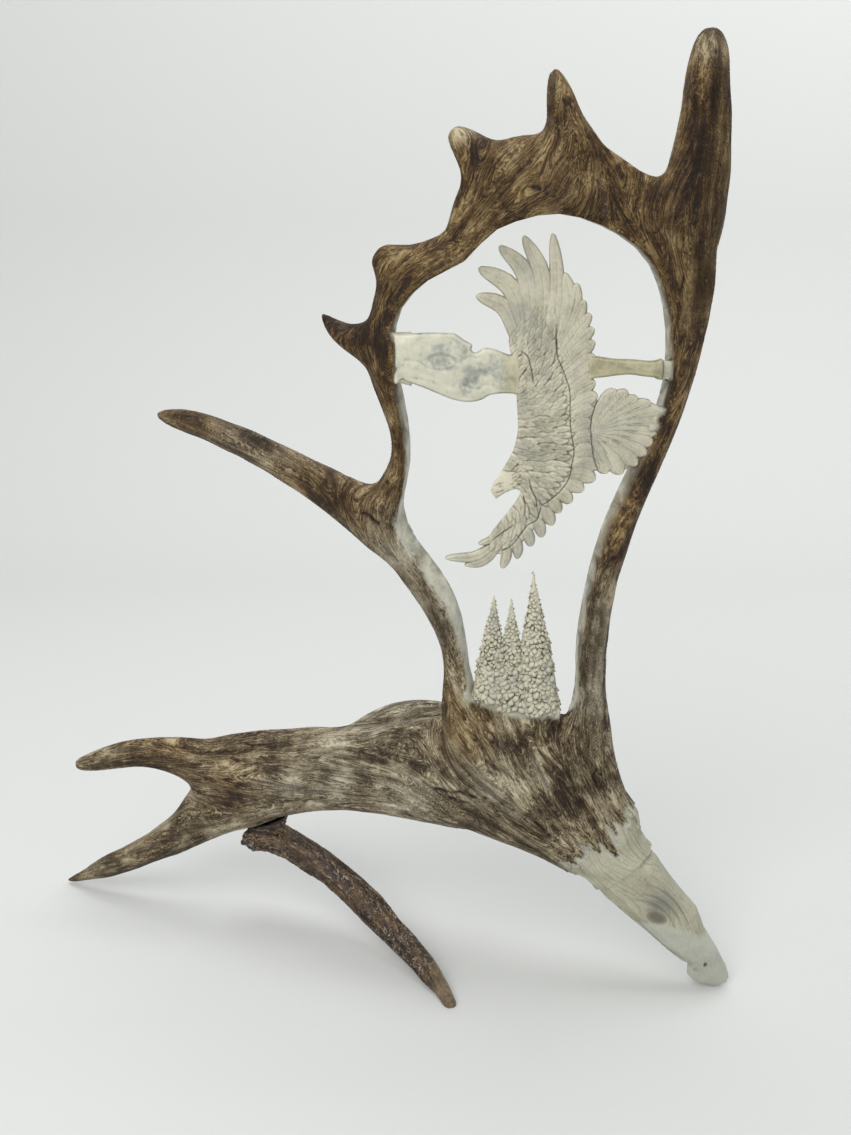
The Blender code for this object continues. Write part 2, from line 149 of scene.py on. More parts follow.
# Lower border of the ivory under the trees, x and z in millimetres.
SILL_LINE = [
    (50, 216), (60, 207), (70, 202), (80, 197), (90, 193.5), (100, 191.5), (110, 190.5), (120, 190.5),
    (127, 192), (133, 197), (138, 214), (145, 225)]
# The sill's own box, and the boxes of the stubs that the clouds and the tail cover, in millimetres.
SILL_SIDES = (62, 131)
SILL_TOP = 212
SILL_FRONT = -47
STUB_SIDES = (34, 166)
STUB_HEIGHTS = (378, 440)
# Cracks, scratches, pits and dents in the bark, as lines in millimetres with their width and depth.
CRACKS = [
    ([(108, -60, 192), (112, -62, 184), (117, -64, 176), (123, -65, 168), (128, -65, 158), (132, -65, 149)],
     1.1, 1.3),
    ([(112, -62, 190), (116, -63, 182)], 1.6, 1.2), ([(146.6, -65, 160), (147, -66, 148)], 0.9, 1.0),
    ([(108, -67, 124), (113, -68, 120), (117, -69, 116), (121, -69, 111)], 1.1, 1.2),
    ([(113, -68, 120), (120, -69, 121)], 0.7, 0.7), ([(117, -69, 116), (116, -69, 109)], 0.7, 0.7),
    ([(36, -44, 141), (48, -48, 138), (60, -53, 138.5), (70, -56, 136)], 1.3, 1.0),
    ([(44, -46, 134), (56, -52, 133), (66, -55, 131)], 1.0, 0.8),
    ([(76, -59, 137), (88, -62, 134), (94, -64, 131)], 1.1, 0.9),
    ([(70, -62, 178), (74, -62, 173), (76, -62, 169)], 1.9, 1.1),
    ([(92, -62, 183), (99, -64, 176)], 1.0, 0.7),
    ([(191.7, -58, 508), (190, -58, 486), (188, -57, 463), (186, -54, 434), (183, -50, 404)], 1.0, 0.9),
    ([(160, -63, 494), (166, -61, 489), (171, -60, 485), (176, -59, 479)], 0.8, 0.6),
    ([(163, -62, 484), (168, -61, 489), (172, -60, 493)], 0.8, 0.6),
    ([(98, -70, 514.5), (102, -70, 513)], 1.5, 1.0), ([(106, -70, 511), (110.5, -70, 509.5)], 1.3, 1.0),
    ([(111, -70, 513), (115, -69, 507), (118, -69, 500)], 0.8, 0.6),
    ([(123.4, -69, 518), (131, -68, 506), (140, -67, 494)], 0.9, 0.7),
    ([(134, -68, 518), (142, -66, 503), (148, -58, 492)], 0.9, 0.7),
    ([(0, -50, 323), (5, -52, 320), (9, -53, 317)], 1.3, 0.9),
    ([(-6, -47, 331), (-3, -48, 330)], 1.2, 0.8), ([(12, -51, 343), (14.5, -51, 340.5)], 1.2, 0.8),
    ([(47, -58, 263), (49, -58, 260.5)], 1.3, 0.8), ([(165, -56.5, 350), (166, -56.5, 348)], 1.5, 1.1),
    ([(-96, 17, 144), (-84, 13, 143.5), (-66, 7, 147)], 0.9, 0.6),
    ([(-62, 5, 144), (-48, -1, 146), (-30, -8, 147), (-12, -16, 149)], 1.1, 0.9),
    ([(-40, -6, 138), (-26, -12, 139), (-14, -18, 137)], 1.4, 1.0),
    ([(-10, -18, 141), (4, -26, 141)], 1.1, 0.8),
    ([(14, -32, 160), (28, -40, 161), (40, -46, 158)], 0.8, 0.5)]
# Warm stains and pale worn patches: place in millimetres, radius, and how warm (+) or pale (-).
STAINS = [
    ((61, -60, 180), 22, 1.0), ((52, -56, 205), 15, 0.8), ((-150, 45, 128), 40, 0.8),
    ((-190, 60, 60), 40, 0.6), ((-100, 20, 118), 30, 0.6), ((75, -60, 150), 24, -0.6),
    ((-20, -14, 128), 26, -0.8), ((28, -30, 118), 30, -0.8), ((-50, 0, 118), 22, -0.6),
    ((139, -62, 207), 10, -1.0), ((62, -58, 214), 7, -0.8), ((20, 2, 172), 30, -1.0),
    ((60, 20, 190), 40, -0.9), ((-210, 62, 18), 24, -0.5), ((19, -54, 300), 24, -0.6),
    ((37, -56, 262), 24, -0.5), ((-72, -25, 364), 26, -0.4), ((143, -62, 240), 30, -0.4),
    ((197, -57, 594), 12, -0.5), ((58, -64, 545), 9, -0.6)]
# The growth's start at the beak and its ends at the tips: node, direction to its tip, length grown.
GROWTH_ENDS = [
    ("eagle_head", (0.7, 0.0, -0.7), 0.0), ("upper_brow_tine", (-1.0, 0.0, 0.0), 0.47),
    ("lower_brow_tine", (-0.8, 0.0, -0.6), 0.50), ("long_front_tine", (-1.0, 0.0, 0.0), 0.52),
    ("side_crown_tine", (-0.7, 0.0, 0.7), 0.60), ("front_crown_tine", (-0.7, 0.0, 0.7), 0.72),
    ("middle_crown_tine", (0.0, 0.0, 1.0), 0.76), ("top_tine", (0.0, 0.0, 1.0), 0.80),
]
NECK_PLACE = Vector((148.5, -60.0, 110.5)) * MM
NECK_AXIS = Vector((0.69, -0.02, -0.72)).normalized()


def joined_copy(names, swell):
    """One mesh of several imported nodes, each swollen a little along its normals."""
    whole = bmesh.new()
    for name in names:
        piece = bmesh.new()
        piece.from_mesh(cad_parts[name].data)
        bmesh.ops.remove_doubles(piece, verts=piece.verts, dist=1e-6)
        piece.normal_update()
        swollen = [(vert, vert.co + vert.normal * swell) for vert in piece.verts]
        for vert, place in swollen:
            vert.co = place
        merged = bpy.data.meshes.new("copy")
        piece.to_mesh(merged)
        piece.free()
        whole.from_mesh(merged)
        bpy.data.meshes.remove(merged)
    result = bpy.data.meshes.new("joined_copy")
    whole.to_mesh(result)
    whole.free()
    return result


def with_modifiers(thing):
    """An object's mesh with its modifiers applied."""
    bpy.context.view_layer.update()
    depsgraph = bpy.context.evaluated_depsgraph_get()
    return bpy.data.meshes.new_from_object(thing.evaluated_get(depsgraph))


def voxel_skin(mesh, voxel):
    """The outer skin of overlapping solids as one even mesh."""
    thing = in_scene("skin", mesh)
    remesh = thing.modifiers.new("voxels", "REMESH")
    remesh.mode = "VOXEL"
    remesh.voxel_size = voxel
    skin = with_modifiers(thing)
    bpy.data.objects.remove(thing)
    bpy.data.meshes.remove(mesh)
    return skin


def thinned(mesh, most):
    """The same mesh with its flattest faces merged until at most so many triangles are left."""
    triangles = sum(len(face.vertices) - 2 for face in mesh.polygons)
    if triangles <= most:
        return mesh
    thing = in_scene("thinning", mesh)
    thing.modifiers.new("merging", "DECIMATE").ratio = most / triangles
    thin = with_modifiers(thing)
    bpy.data.objects.remove(thing)
    bpy.data.meshes.remove(mesh)
    return thin


def table(items, name, columns, kind=float):
    """One property of every vertex or edge of a mesh as the rows of an array."""
    flat = np.empty(len(items) * columns, dtype=kind)
    items.foreach_get(name, flat)
    return flat.reshape(-1, columns)


def places(mesh):
    return table(mesh.vertices, "co", 3)


def normals(mesh):
    return table(mesh.vertex_normals, "vector", 3)


def links(mesh):
    return table(mesh.edges, "vertices", 2, np.int32)


def put_places(mesh, co):
    mesh.vertices.foreach_set("co", np.ascontiguousarray(co, dtype=np.float32).ravel())
    mesh.update()


def averaged(values, edges, rounds, share=1.0):
    """Values moved towards the mean of their neighbours, several times."""
    first, second = edges.T
    count = len(values)
    degree = np.bincount(first, minlength=count) + np.bincount(second, minlength=count)
    columns = values.reshape(count, -1).T.copy()
    for _ in range(rounds):
        for column in columns:
            total = (np.bincount(first, weights=column[second], minlength=count)
                     + np.bincount(second, weights=column[first], minlength=count))
            column += share * (total / degree - column)
    return columns.T.reshape(values.shape)


def relaxed(co, edges, rounds):
    """Smooths a shape without shrinking it."""
    for _ in range(rounds):
        co = averaged(co, edges, 1, 0.52)
        co = averaged(co, edges, 1, -0.54)
    return co


def standardised(values):
    return (values - values.mean()) / (values.std() + 1e-12)


def along_grain(values, onward, back, doublings, rounds=3):
    """Blurs values along the grain only: each doubling makes the streaks twice as long."""
    for _ in range(doublings):
        for _ in range(rounds):
            values = (values + values[onward] + values[back]) / 3
        onward = onward[onward]
        back = back[back]
    return values


def nearest_of(points, *queries):
    """For each set of places, the index of the nearest of the points to every place in it."""
    tree = KDTree(len(points))
    for index, place in enumerate(points):
        tree.insert(place, index)
    tree.balance()
    return [np.array([tree.find(place)[1] for place in query]) for query in queries]


def grain_walk(co, direction, step):
    """Index of the vertex one step along the grain from each vertex, and one step back."""
    return nearest_of(co, co + direction * step, co - direction * step)


def streaks(dice, edges, onward, back, before, doublings, after=0):
    """Random values drawn out along the grain, with mean 0 and spread 1."""
    values = averaged(dice.normal(size=len(onward)), edges, before)
    return standardised(averaged(along_grain(values, onward, back, doublings), edges, after))


def combed(grain, normal):
    """Grain directions laid along the surface and brought to length 1."""
    flat = grain - normal * (grain * normal).sum(axis=1)[:, None]
    return flat / (np.linalg.norm(flat, axis=1)[:, None] + 1e-9)


def smoothstep(low, high, values):
    """Values eased from 0 at low to 1 at high."""
    t = np.clip((values - low) / (high - low), 0.0, 1.0)
    return t * t * (3 - 2 * t)


def store(mesh, name, values):
    """Keeps one number per vertex under a name the materials read."""
    layer = mesh.attributes.new(name, "FLOAT", "POINT")
    layer.data.foreach_set("value", np.ascontiguousarray(values, dtype=np.float32))


def growth_field(names, ends, voxel):
    """Growth length on a coarse skin, harmonic between the given ends, and its direction."""
    coarse = voxel_skin(joined_copy(names, SEAM_SWELL), voxel)
    co = places(coarse)
    edges = links(coarse)
    count = len(co)
    fixed = np.zeros(count, dtype=bool)
    length = np.full(count, 0.4)
    for node, direction, grown in ends:
        low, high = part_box(node)
        inside = np.all((co > np.array(low) - 2 * MM) & (co < np.array(high) + 2 * MM), axis=1)
        reach = np.where(inside, co @ np.array(direction), -9.0)
        tip = reach > reach.max() - 7 * MM
        fixed |= tip
        length[tip] = grown
    first, second = edges.T
    degree = np.bincount(first, minlength=count) + np.bincount(second, minlength=count)

    def laplace(values):
        return degree * values - (np.bincount(first, weights=values[second], minlength=count)
                                  + np.bincount(second, weights=values[first], minlength=count))

    start = np.where(fixed, length, 0.0)
    free = ~fixed
    residual = np.where(free, -laplace(start), 0.0)
    search = residual.copy()
    solution = np.zeros(count)
    energy = residual @ residual
    for _ in range(700):
        image = np.where(free, laplace(search), 0.0)
        pace = energy / (search @ image)
        solution += pace * search
        residual -= pace * image
        fresh = residual @ residual
        if fresh < 1e-12:
            break
        search = residual + (fresh / energy) * search
        energy = fresh
    length = start + solution
    span = co[second] - co[first]
    rise = (length[second] - length[first])[:, None] * span / (span ** 2).sum(axis=1)[:, None]
    direction = np.stack([np.bincount(first, weights=part, minlength=count)
                          + np.bincount(second, weights=part, minlength=count) for part in rise.T], axis=1)
    direction /= np.linalg.norm(direction, axis=1)[:, None] + 1e-9
    direction = averaged(direction, edges, 3)
    bpy.data.meshes.remove(coarse)
    return co, length, direction


def carried_over(co, coarse_co, fields):
    """Fields of a coarse skin read at the nearest points of a fine one."""
    nearest, = nearest_of(coarse_co, co)
    return [field[nearest] for field in fields]


bark_skin = voxel_skin(joined_copy(BARK_NODES, SEAM_SWELL), BARK_VOXEL)
bark_edges = links(bark_skin)
bark_co = relaxed(places(bark_skin), bark_edges, 6)

# The sawn walls: triangles whose plane passes through the saw's apex and that face the opening.
wall_corners = []
for wall_node in BARK_NODES:
    node_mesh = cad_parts[wall_node].data
    for face in node_mesh.polygons:
        from_centre = Vector((face.center.x - SAW_CENTRE[0] * MM, 0.0, face.center.z - SAW_CENTRE[1] * MM))
        on_cone = abs(face.normal.dot(face.center - SAW_APEX)) < SAW_TOLERANCE
        faces_in = from_centre.length < SAW_REACH and face.normal.dot(from_centre) < 0
        if on_cone and faces_in and face.area > SAW_SLIVER:
            wall_corners.extend(node_mesh.vertices[v].co.copy() for v in face.vertices)
wall_tree = BVHTree.FromPolygons(wall_corners, [(k, k + 1, k + 2) for k in range(0, len(wall_corners), 3)])

wall = np.zeros(len(bark_co))
inside_opening = np.zeros(len(bark_co))
held = bark_co.copy()
for index, place in enumerate(bark_co):
    found, wall_normal, _, distance = wall_tree.find_nearest(place, WALL_SEARCH)
    if found is None:
        continue
    lift = (Vector(place) - found).dot(wall_normal)
    if distance < 0.9 * BARK_VOXEL and abs(lift) > 0.7 * distance:
        wall[index] = 1.0
        held[index] = found
    elif lift > 1.2 * MM and lift > 0.6 * distance:
        inside_opening[index] = 1.0

# Long smoothing blends the tines into the palm while the sawn walls stay where the saw left them.
on_wall = (wall + inside_opening)[:, None] > 0.5
sill_height = np.interp(bark_co[:, 0] / MM, *np.array(SILL_LINE).T)
on_wall &= (bark_co[:, 2] / MM > sill_height - 4.0)[:, None]
bark_co = np.where(on_wall, held, bark_co)
for _ in range(3):
    blended = averaged(bark_co, bark_edges, 75, 0.6)
    lost = averaged(blended - bark_co, bark_edges, 90, 0.9)
    bark_co = np.where(on_wall, held, blended - lost)

around = np.degrees(np.arctan2(bark_co[:, 2] / MM - SAW_CENTRE[1], bark_co[:, 0] / MM - SAW_CENTRE[0]))
wall_depth = np.full((2, WALL_SECTORS), np.nan)
sector_width = 360 / WALL_SECTORS
for sector in range(WALL_SECTORS):
    members = bark_co[(wall > 0.5) & (np.floor((around + 180) / sector_width) == sector), 1]
    if len(members) > 4:
        wall_depth[:, sector] = members.min(), members.max()
sectors = np.arange(-180, 180, sector_width) + sector_width / 2
known = ~np.isnan(wall_depth[0])
wall_front, wall_back = (np.interp(around, sectors[known], depth[known]) for depth in wall_depth)
ivory_share = np.interp(around, *np.array(IVORY_SHARE).T)
ivory_from = wall_back - ivory_share * (wall_back - wall_front)

coarse_co, coarse_length, coarse_direction = growth_field(BARK_NODES, GROWTH_ENDS, 6 * MM)
bark_length, bark_grain = carried_over(bark_co, coarse_co, [coarse_length, coarse_direction])
bark_length = averaged(bark_length, bark_edges, 12)
bark_grain = averaged(bark_grain, bark_edges, 8)
put_places(bark_skin, bark_co)
bark_normal = normals(bark_skin)
bark_grain = combed(bark_grain, bark_normal)

dice = np.random.default_rng(7)
onward, back = grain_walk(bark_co, bark_grain, GRAIN_STEP)
fine_streak = streaks(dice, bark_edges, onward, back, 1, 2, 1)
wide_streak = streaks(dice, bark_edges, onward, back, 3, 3, 2)
cross_one = streaks(dice, bark_edges, onward, back, 14, 4, 10)
cross_two = streaks(dice, bark_edges, onward, back, 14, 4, 10)
blotch = np.array([noise.noise(Vector(place) * 34.0) for place in bark_co])
lumps = np.array([noise.noise(Vector(place) * 60.0 + Vector((3, 7, 1))) for place in bark_co])

# The carved head starts at a ragged edge of the bark, behind which the bark dips under it.
neck_reach = (bark_co - np.array(NECK_PLACE)) @ np.array(NECK_AXIS) / MM
neck_reach += 5.0 * wide_streak + 2.0 * fine_streak
carved = smoothstep(-0.6, 0.8, neck_reach)

sill_height += 0.8 * wide_streak
shows_ivory = ((wall > 0.5) & (bark_co[:, 1] > ivory_from + 0.8 * MM * lumps)) | (inside_opening > 0.5)
bark_x, bark_y, bark_z = (bark_co / MM).T
shows_ivory |= ((bark_x > SILL_SIDES[0]) & (bark_x < SILL_SIDES[1]) & (bark_z < SILL_TOP)
                & (bark_y < SILL_FRONT) & (bark_normal[:, 2] > -0.5))
shows_ivory &= bark_z > sill_height
sawn = averaged(shows_ivory.astype(float), bark_edges, 1)
crack = np.zeros(len(bark_co))
crack_depth = np.zeros(len(bark_co))
for line, width, depth in CRACKS:
    points = [np.array(point) * MM for point in line]
    bends = [points[0]] + [(a + b) / 2 + 0.0012 * dice.normal(size=3) for a, b in zip(points, points[1:])]
    path = [point for pair in zip(points, bends[1:] + [points[-1]]) for point in pair]
    for start, end in zip(path, path[1:]):
        run = end - start
        share = np.clip((bark_co - start) @ run / (run @ run + 1e-12), 0, 1)
        gap = np.linalg.norm(bark_co - start - share[:, None] * run, axis=1) / MM
        stroke = np.clip(1.5 * np.exp(-(gap / (0.75 * width)) ** 2), 0, 1)
        crack = np.maximum(crack, stroke)
        crack_depth = np.maximum(crack_depth, depth * stroke)
warm = np.zeros(len(bark_co))
pale = np.zeros(len(bark_co))
for place, radius, warmth in STAINS:
    glow = np.exp(-((bark_co - np.array(place) * MM) ** 2).sum(axis=1) / (radius * MM) ** 2)
    warm = np.maximum(warm, warmth * glow)
    pale = np.maximum(pale, -warmth * glow)

groove = smoothstep(1.35, 2.3, wide_streak)
relief = 0.10 * fine_streak + 0.20 * wide_streak + 0.45 * lumps - 0.45 * groove - crack_depth
# The short stubs that the clouds and the tail cover are pressed back out of sight.
stub = shows_ivory & ((bark_x < STUB_SIDES[0]) | (bark_x > STUB_SIDES[1])) & ~wall.astype(bool)
stub &= (bark_z > STUB_HEIGHTS[0]) & (bark_z < STUB_HEIGHTS[1])
smooth_wall = averaged(np.clip(wall + inside_opening, 0, 1) * (bark_z > sill_height), bark_edges, 1)
relief *= 1 - smooth_wall
relief -= 1.5 * carved + 6.0 * smoothstep(5.0, 18.0, neck_reach)
carved_co = bark_co + bark_normal * (relief * MM)[:, None]
carved_co[stub, 1] += 2.5 * MM
put_places(bark_skin, carved_co)

height = bark_co[:, 2]
age = 0.75 * smoothstep(0.30, 0.16, height) + 0.3 * smoothstep(0.42, 0.24, height) + 0.9 * pale - 0.5 * warm
full_length = np.interp(bark_z, [60, 330, 480, 600], [0.50, 0.52, 0.66, 0.80])
tine_end = smoothstep(0.88, 1.0, bark_length / full_length)
for name, values in (("fine_streak", fine_streak), ("wide_streak", wide_streak), ("cross_one", cross_one),
                     ("cross_two", cross_two), ("grown_length", bark_length), ("sawn", sawn),
                     ("carved", carved), ("age", np.clip(age + 0.30 * blotch, 0, 1)),
                     ("pale", np.clip(pale, 0, 1)), ("warm", np.clip(warm + 0.6 * tine_end, 0, 1)),
                     ("groove", np.maximum(0.7 * groove * (1 - smooth_wall), crack))):
    store(bark_skin, name, values)
bark_skin.shade_smooth()


class Nodes:
    """Short way to add linked shader nodes to one material."""

    def __init__(self, name):
        self.material = bpy.data.materials.new(name)
        self.material.use_nodes = True
        self.tree = self.material.node_tree
        self.shader = self.tree.nodes["Principled BSDF"]

    def add(self, kind, settings=None, **inputs):
        node = self.tree.nodes.new(kind)
        for key, value in (settings or {}).items():
            setattr(node, key, value)
        for key, value in inputs.items():
            self.feed(node.inputs[key.replace("_", " ")], value)
        return node

    def feed(self, socket, value):
        if isinstance(value, bpy.types.NodeSocket):
            self.tree.links.new(value, socket)
        else:
            socket.default_value = value

    def attribute(self, name):
        return self.add("ShaderNodeAttribute", {"attribute_name": name}).outputs["Fac"]

    def sum(self, *terms):
        """Sum of (value, factor) pairs."""
        total = None
        for value, factor in terms:
            node = self.add("ShaderNodeMath", {"operation": "MULTIPLY_ADD"})
            self.feed(node.inputs[0], value)
            self.feed(node.inputs[1], factor)
            self.feed(node.inputs[2], total if total is not None else 0.0)
            total = node.outputs[0]
        return total

    def ramp(self, value, stops):
        node = self.add("ShaderNodeValToRGB")
        elements = node.color_ramp.elements
        while len(elements) < len(stops):
            elements.new(0.5)
        for element, (position, colour) in zip(elements, stops):
            element.position = position
            element.color = (*colour, 1.0)
        self.feed(node.inputs[0], value)
        return node.outputs["Color"]

    def mix(self, factor, under, over):
        node = self.add("ShaderNodeMix", {"data_type": "RGBA"})
        self.feed(node.inputs[0], factor)
        for socket, value in ((node.inputs[6], under), (node.inputs[7], over)):
            self.feed(socket, (*value, 1.0) if isinstance(value, tuple) else value)
        return node.outputs[2]

    def grains(self, vector, scale, detail=4.0, roughness=0.6):
        node = self.add("ShaderNodeTexNoise", Scale=scale, Detail=detail, Roughness=roughness)
        self.feed(node.inputs["Vector"], vector)
        return node.outputs["Fac"]

    def vector(self, x, y, z):
        return self.add("ShaderNodeCombineXYZ", X=x, Y=y, Z=z).outputs[0]

    def place(self):
        return self.add("ShaderNodeTexCoord").outputs["Object"]

    def along_growth(self, stretch):
        """A place counted across the grain and, in metres times the stretch, along it."""
        return self.vector(self.attribute("cross_one"), self.attribute("cross_two"),
                           self.sum((self.attribute("grown_length"), stretch)))

    def bump(self, height, distance, strength=1.0):
        node = self.add("ShaderNodeBump", Height=height, Distance=distance, Strength=strength)
        self.tree.links.new(node.outputs[0], self.shader.inputs["Normal"])

    def translucent(self):
        """A little light passes under a bone surface."""
        self.shader.inputs["Subsurface Weight"].default_value = 0.06
        self.shader.inputs["Subsurface Radius"].default_value = (0.002, 0.0014, 0.0009)


IVORY_STOPS = [(0.30, (0.30, 0.30, 0.25)), (0.48, (0.50, 0.49, 0.40)), (0.72, (0.66, 0.63, 0.51))]


def ivory_colour(nodes, mottle_scale=90.0):
    """Sanded antler core: cream with grey marrow mottling."""
    broad = nodes.grains(nodes.place(), mottle_scale, 3.0, 0.55)
    fine = nodes.grains(nodes.place(), mottle_scale * 8, 2.0, 0.6)
    return nodes.ramp(nodes.sum((broad, 0.75), (fine, 0.25)), IVORY_STOPS)


bark = Nodes("antler_bark")
thick_threads = bark.grains(bark.along_growth(26.0), 3.4, 3.2, 0.7)
thin_threads = bark.grains(bark.along_growth(9.0), 11.0, 2.2, 0.7)
bark_place = bark.place()
speck = bark.grains(bark_place, 700.0, 5.0, 0.7)
patches = bark.grains(bark_place, 38.0, 5.0, 0.62)
scuff = bark.add("ShaderNodeTexNoise", Scale=210.0, Detail=5.0, Roughness=0.72, Distortion=1.6)
bark.feed(scuff.inputs["Vector"], bark_place)
tone = bark.sum((bark.attribute("wide_streak"), 0.06), (bark.attribute("fine_streak"), 0.045),
                (thick_threads, 1.15), (thin_threads, 1.2), (speck, 0.15), (scuff.outputs["Fac"], 0.35),
                (patches, 1.10), (0.5, -2.97))
BARK_TONES = (0.20, 0.38, 0.50, 0.62, 0.82)
brown, grey, bone, amber = (bark.ramp(tone, list(zip(BARK_TONES, colours))) for colours in (
    [(0.008, 0.003, 0.001), (0.036, 0.016, 0.004), (0.080, 0.042, 0.012), (0.145, 0.088, 0.031),
     (0.29, 0.205, 0.095)],
    [(0.016, 0.008, 0.003), (0.073, 0.047, 0.021), (0.158, 0.117, 0.062), (0.290, 0.235, 0.142),
     (0.54, 0.475, 0.335)],
    [(0.06, 0.042, 0.022), (0.20, 0.165, 0.105), (0.34, 0.305, 0.215), (0.47, 0.435, 0.33),
     (0.66, 0.62, 0.50)],
    [(0.020, 0.008, 0.001), (0.062, 0.029, 0.006), (0.135, 0.075, 0.019), (0.235, 0.150, 0.05),
     (0.42, 0.31, 0.15)]))
age_and_patch = bark.sum((bark.attribute("age"), 1.0), (patches, 0.9), (0.5, -0.9))
bark_colour = bark.mix(bark.ramp(age_and_patch, [(0.05, (0, 0, 0)), (0.85, (1, 1, 1))]), brown, grey)
bark_colour = bark.mix(bark.sum((bark.attribute("pale"), 0.75)), bark_colour, bone)
bark_colour = bark.mix(bark.sum((bark.attribute("warm"), 0.75)), bark_colour, amber)
bark_colour = bark.mix(bark.attribute("groove"), bark_colour, (0.014, 0.007, 0.003))
core_colour = ivory_colour(bark)
bark_colour = bark.mix(bark.attribute("carved"), bark_colour, core_colour)
bark_colour = bark.mix(bark.attribute("sawn"), bark_colour, core_colour)
bark.feed(bark.shader.inputs["Base Color"], bark_colour)
bark.feed(bark.shader.inputs["Roughness"], bark.sum((tone, -0.2), (0.66, 1.0)))
bark.shader.inputs["Specular IOR Level"].default_value = 0.35
bark_only = bark.sum((bark.attribute("sawn"), -0.9), (1.0, 1.0))
bark_height = bark.sum((thick_threads, 0.9), (thin_threads, 0.6), (speck, 0.3), (scuff.outputs["Fac"], 0.5))
bark.bump(bark_height, 0.0011, bark_only)

bark_skin = thinned(bark_skin, BARK_TRIANGLES)
grown_antler = in_scene("grown_antler", bark_skin)
bark_skin.materials.clear()
bark_skin.materials.append(bark.material)
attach(grown_antler, "root")
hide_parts(*BARK_NODES)

# ---------------------------------------------------------------------------------------------
# The eagle head at the antler's foot: bark cut away to the ivory, long wavy feather cuts flowing
# round the eye, a smooth grey cere and a hooked beak on which the antler rests.
HEAD_VOXEL = 0.6 * MM
HEAD_TRIANGLES = 190000
HEAD_START = Vector((147.0, -55.0, 112.0)) * MM
HEAD_AXIS = Vector((0.66, -0.03, -0.75)).normalized()
HEAD_TUCK = 26 * MM             # how far the carving runs up under the bark
SLICE = 1.5                     # millimetres of the head in one slice
FEATHER_COUNT = 46              # cuts counted round the neck
EYE = (188.0, 58.7)             # x and z in millimetres, as the lines below
EYE_LONG = 6.0
EYE_SHORT = 4.1
EYE_TILT = math.radians(-20)
BROW = (190, 69)
CERE_EDGE = [
    (168, 49), (178, 52.4), (193, 52.6), (203, 49.5), (210, 46.8), (217, 44), (224, 42), (240, 36)]
GAPE = [
    (176, 53.5), (182, 46.5), (188.6, 39.8), (194, 34.6), (198.8, 30.5), (204, 26.8), (209.5, 23.2)]
BROW_CUTS = [
    [(170, 71.5), (178, 71.5), (186, 69), (192.5, 64), (197, 58.5), (200, 52.5)],
    [(174, 77), (184, 75), (192, 70.5), (198.5, 64), (203, 57), (205.5, 50)],
    [(180, 83), (190, 79), (198, 72.5), (204, 65), (208, 57), (210.5, 48.5)],
    [(180, 63.6), (186, 64.6), (191.5, 62.5), (195.5, 58.5)]]
# The head's outline across its axis: distance along it, then the lower and the upper edge.
HEAD_OUTLINE = [
    (0, -32.0, 30.8), (21, -28.0, 25.0), (39, -25.8, 21.9), (57, -23.3, 19.7), (74, -20.8, 18.9),
    (86, -19.6, 19.0), (94, -18.8, 16.2), (101, -17.7, 13.6), (108, -16.4, 12.2), (114.5, -13.2, 11.0),
    (116.5, -16.8, 10.7), (119.5, -19.8, 10.1), (125.5, -20.0, 8.6), (132, -17.4, 7.0),
    (139, -12.0, 4.6), (142.5, -8.0, 2.4), (144.6, -3.0, -1.2)]
BEAK_ROUNDS = 122               # reach at which the beak starts to round off, and how far it goes on
BEAK_END = 24
NOSTRIL = (222.7, 21.7)
BEAK_HOLLOW = (215.6, 17.5)


def distance_to_line(x, z, line):
    """Distance from points to a smooth line drawn in x and z, and the share walked along it."""
    points = smooth_line(line, 4)
    best = np.full(len(x), 1e9)
    share = np.zeros(len(x))
    for index, (start, end) in enumerate(zip(points, points[1:])):
        run = end - start
        t = np.clip(((x - start[0]) * run[0] + (z - start[1]) * run[1]) / (run @ run), 0, 1)
        distance = np.hypot(x - start[0] - t * run[0], z - start[1] - t * run[1])
        nearer = distance < best
        best = np.where(nearer, distance, best)
        share = np.where(nearer, (index + t) / (len(points) - 1), share)
    return best, share


def smooth_line(points, per_span=6):
    """Points of a smooth curve through the given ones."""
    chain = [np.array(point, dtype=float) for point in points]
    chain = [2 * chain[0] - chain[1]] + chain + [2 * chain[-1] - chain[-2]]
    line = []
    for before, start, end, after in zip(chain, chain[1:], chain[2:], chain[3:]):
        for share in np.arange(per_span) / per_span:
            line.append(0.5 * (2 * start + (end - before) * share
                               + (2 * before - 5 * start + 4 * end - after) * share ** 2
                               + (3 * start - before - 3 * end + after) * share ** 3))
    line.append(chain[-2])
    return np.array(line)


head_copy = joined_copy(BARK_NODES, SEAM_SWELL)
head_bm = bmesh.new()
head_bm.from_mesh(head_copy)
bmesh.ops.bisect_plane(head_bm, geom=head_bm.verts[:] + head_bm.edges[:] + head_bm.faces[:], dist=1e-7,
                       plane_co=HEAD_START - HEAD_AXIS * HEAD_TUCK, plane_no=HEAD_AXIS, clear_inner=True)
bmesh.ops.holes_fill(head_bm, edges=[edge for edge in head_bm.edges if edge.is_boundary], sides=0)
head_bm.to_mesh(head_copy)
head_bm.free()
head_skin = voxel_skin(head_copy, HEAD_VOXEL)
head_edges = links(head_skin)
head_co = relaxed(places(head_skin), head_edges, 40)
head_across = np.array(HEAD_AXIS.cross(Vector((0, -1, 0))).normalized())
if head_across[2] < 0:
    head_across = -head_across
head_front = np.cross(head_across, np.array(HEAD_AXIS))
if head_front[1] > 0:
    head_front = -head_front
offset = (head_co - np.array(HEAD_START)) / MM
reach = offset @ np.array(HEAD_AXIS)
radial = offset - reach[:, None] * np.array(HEAD_AXIS)
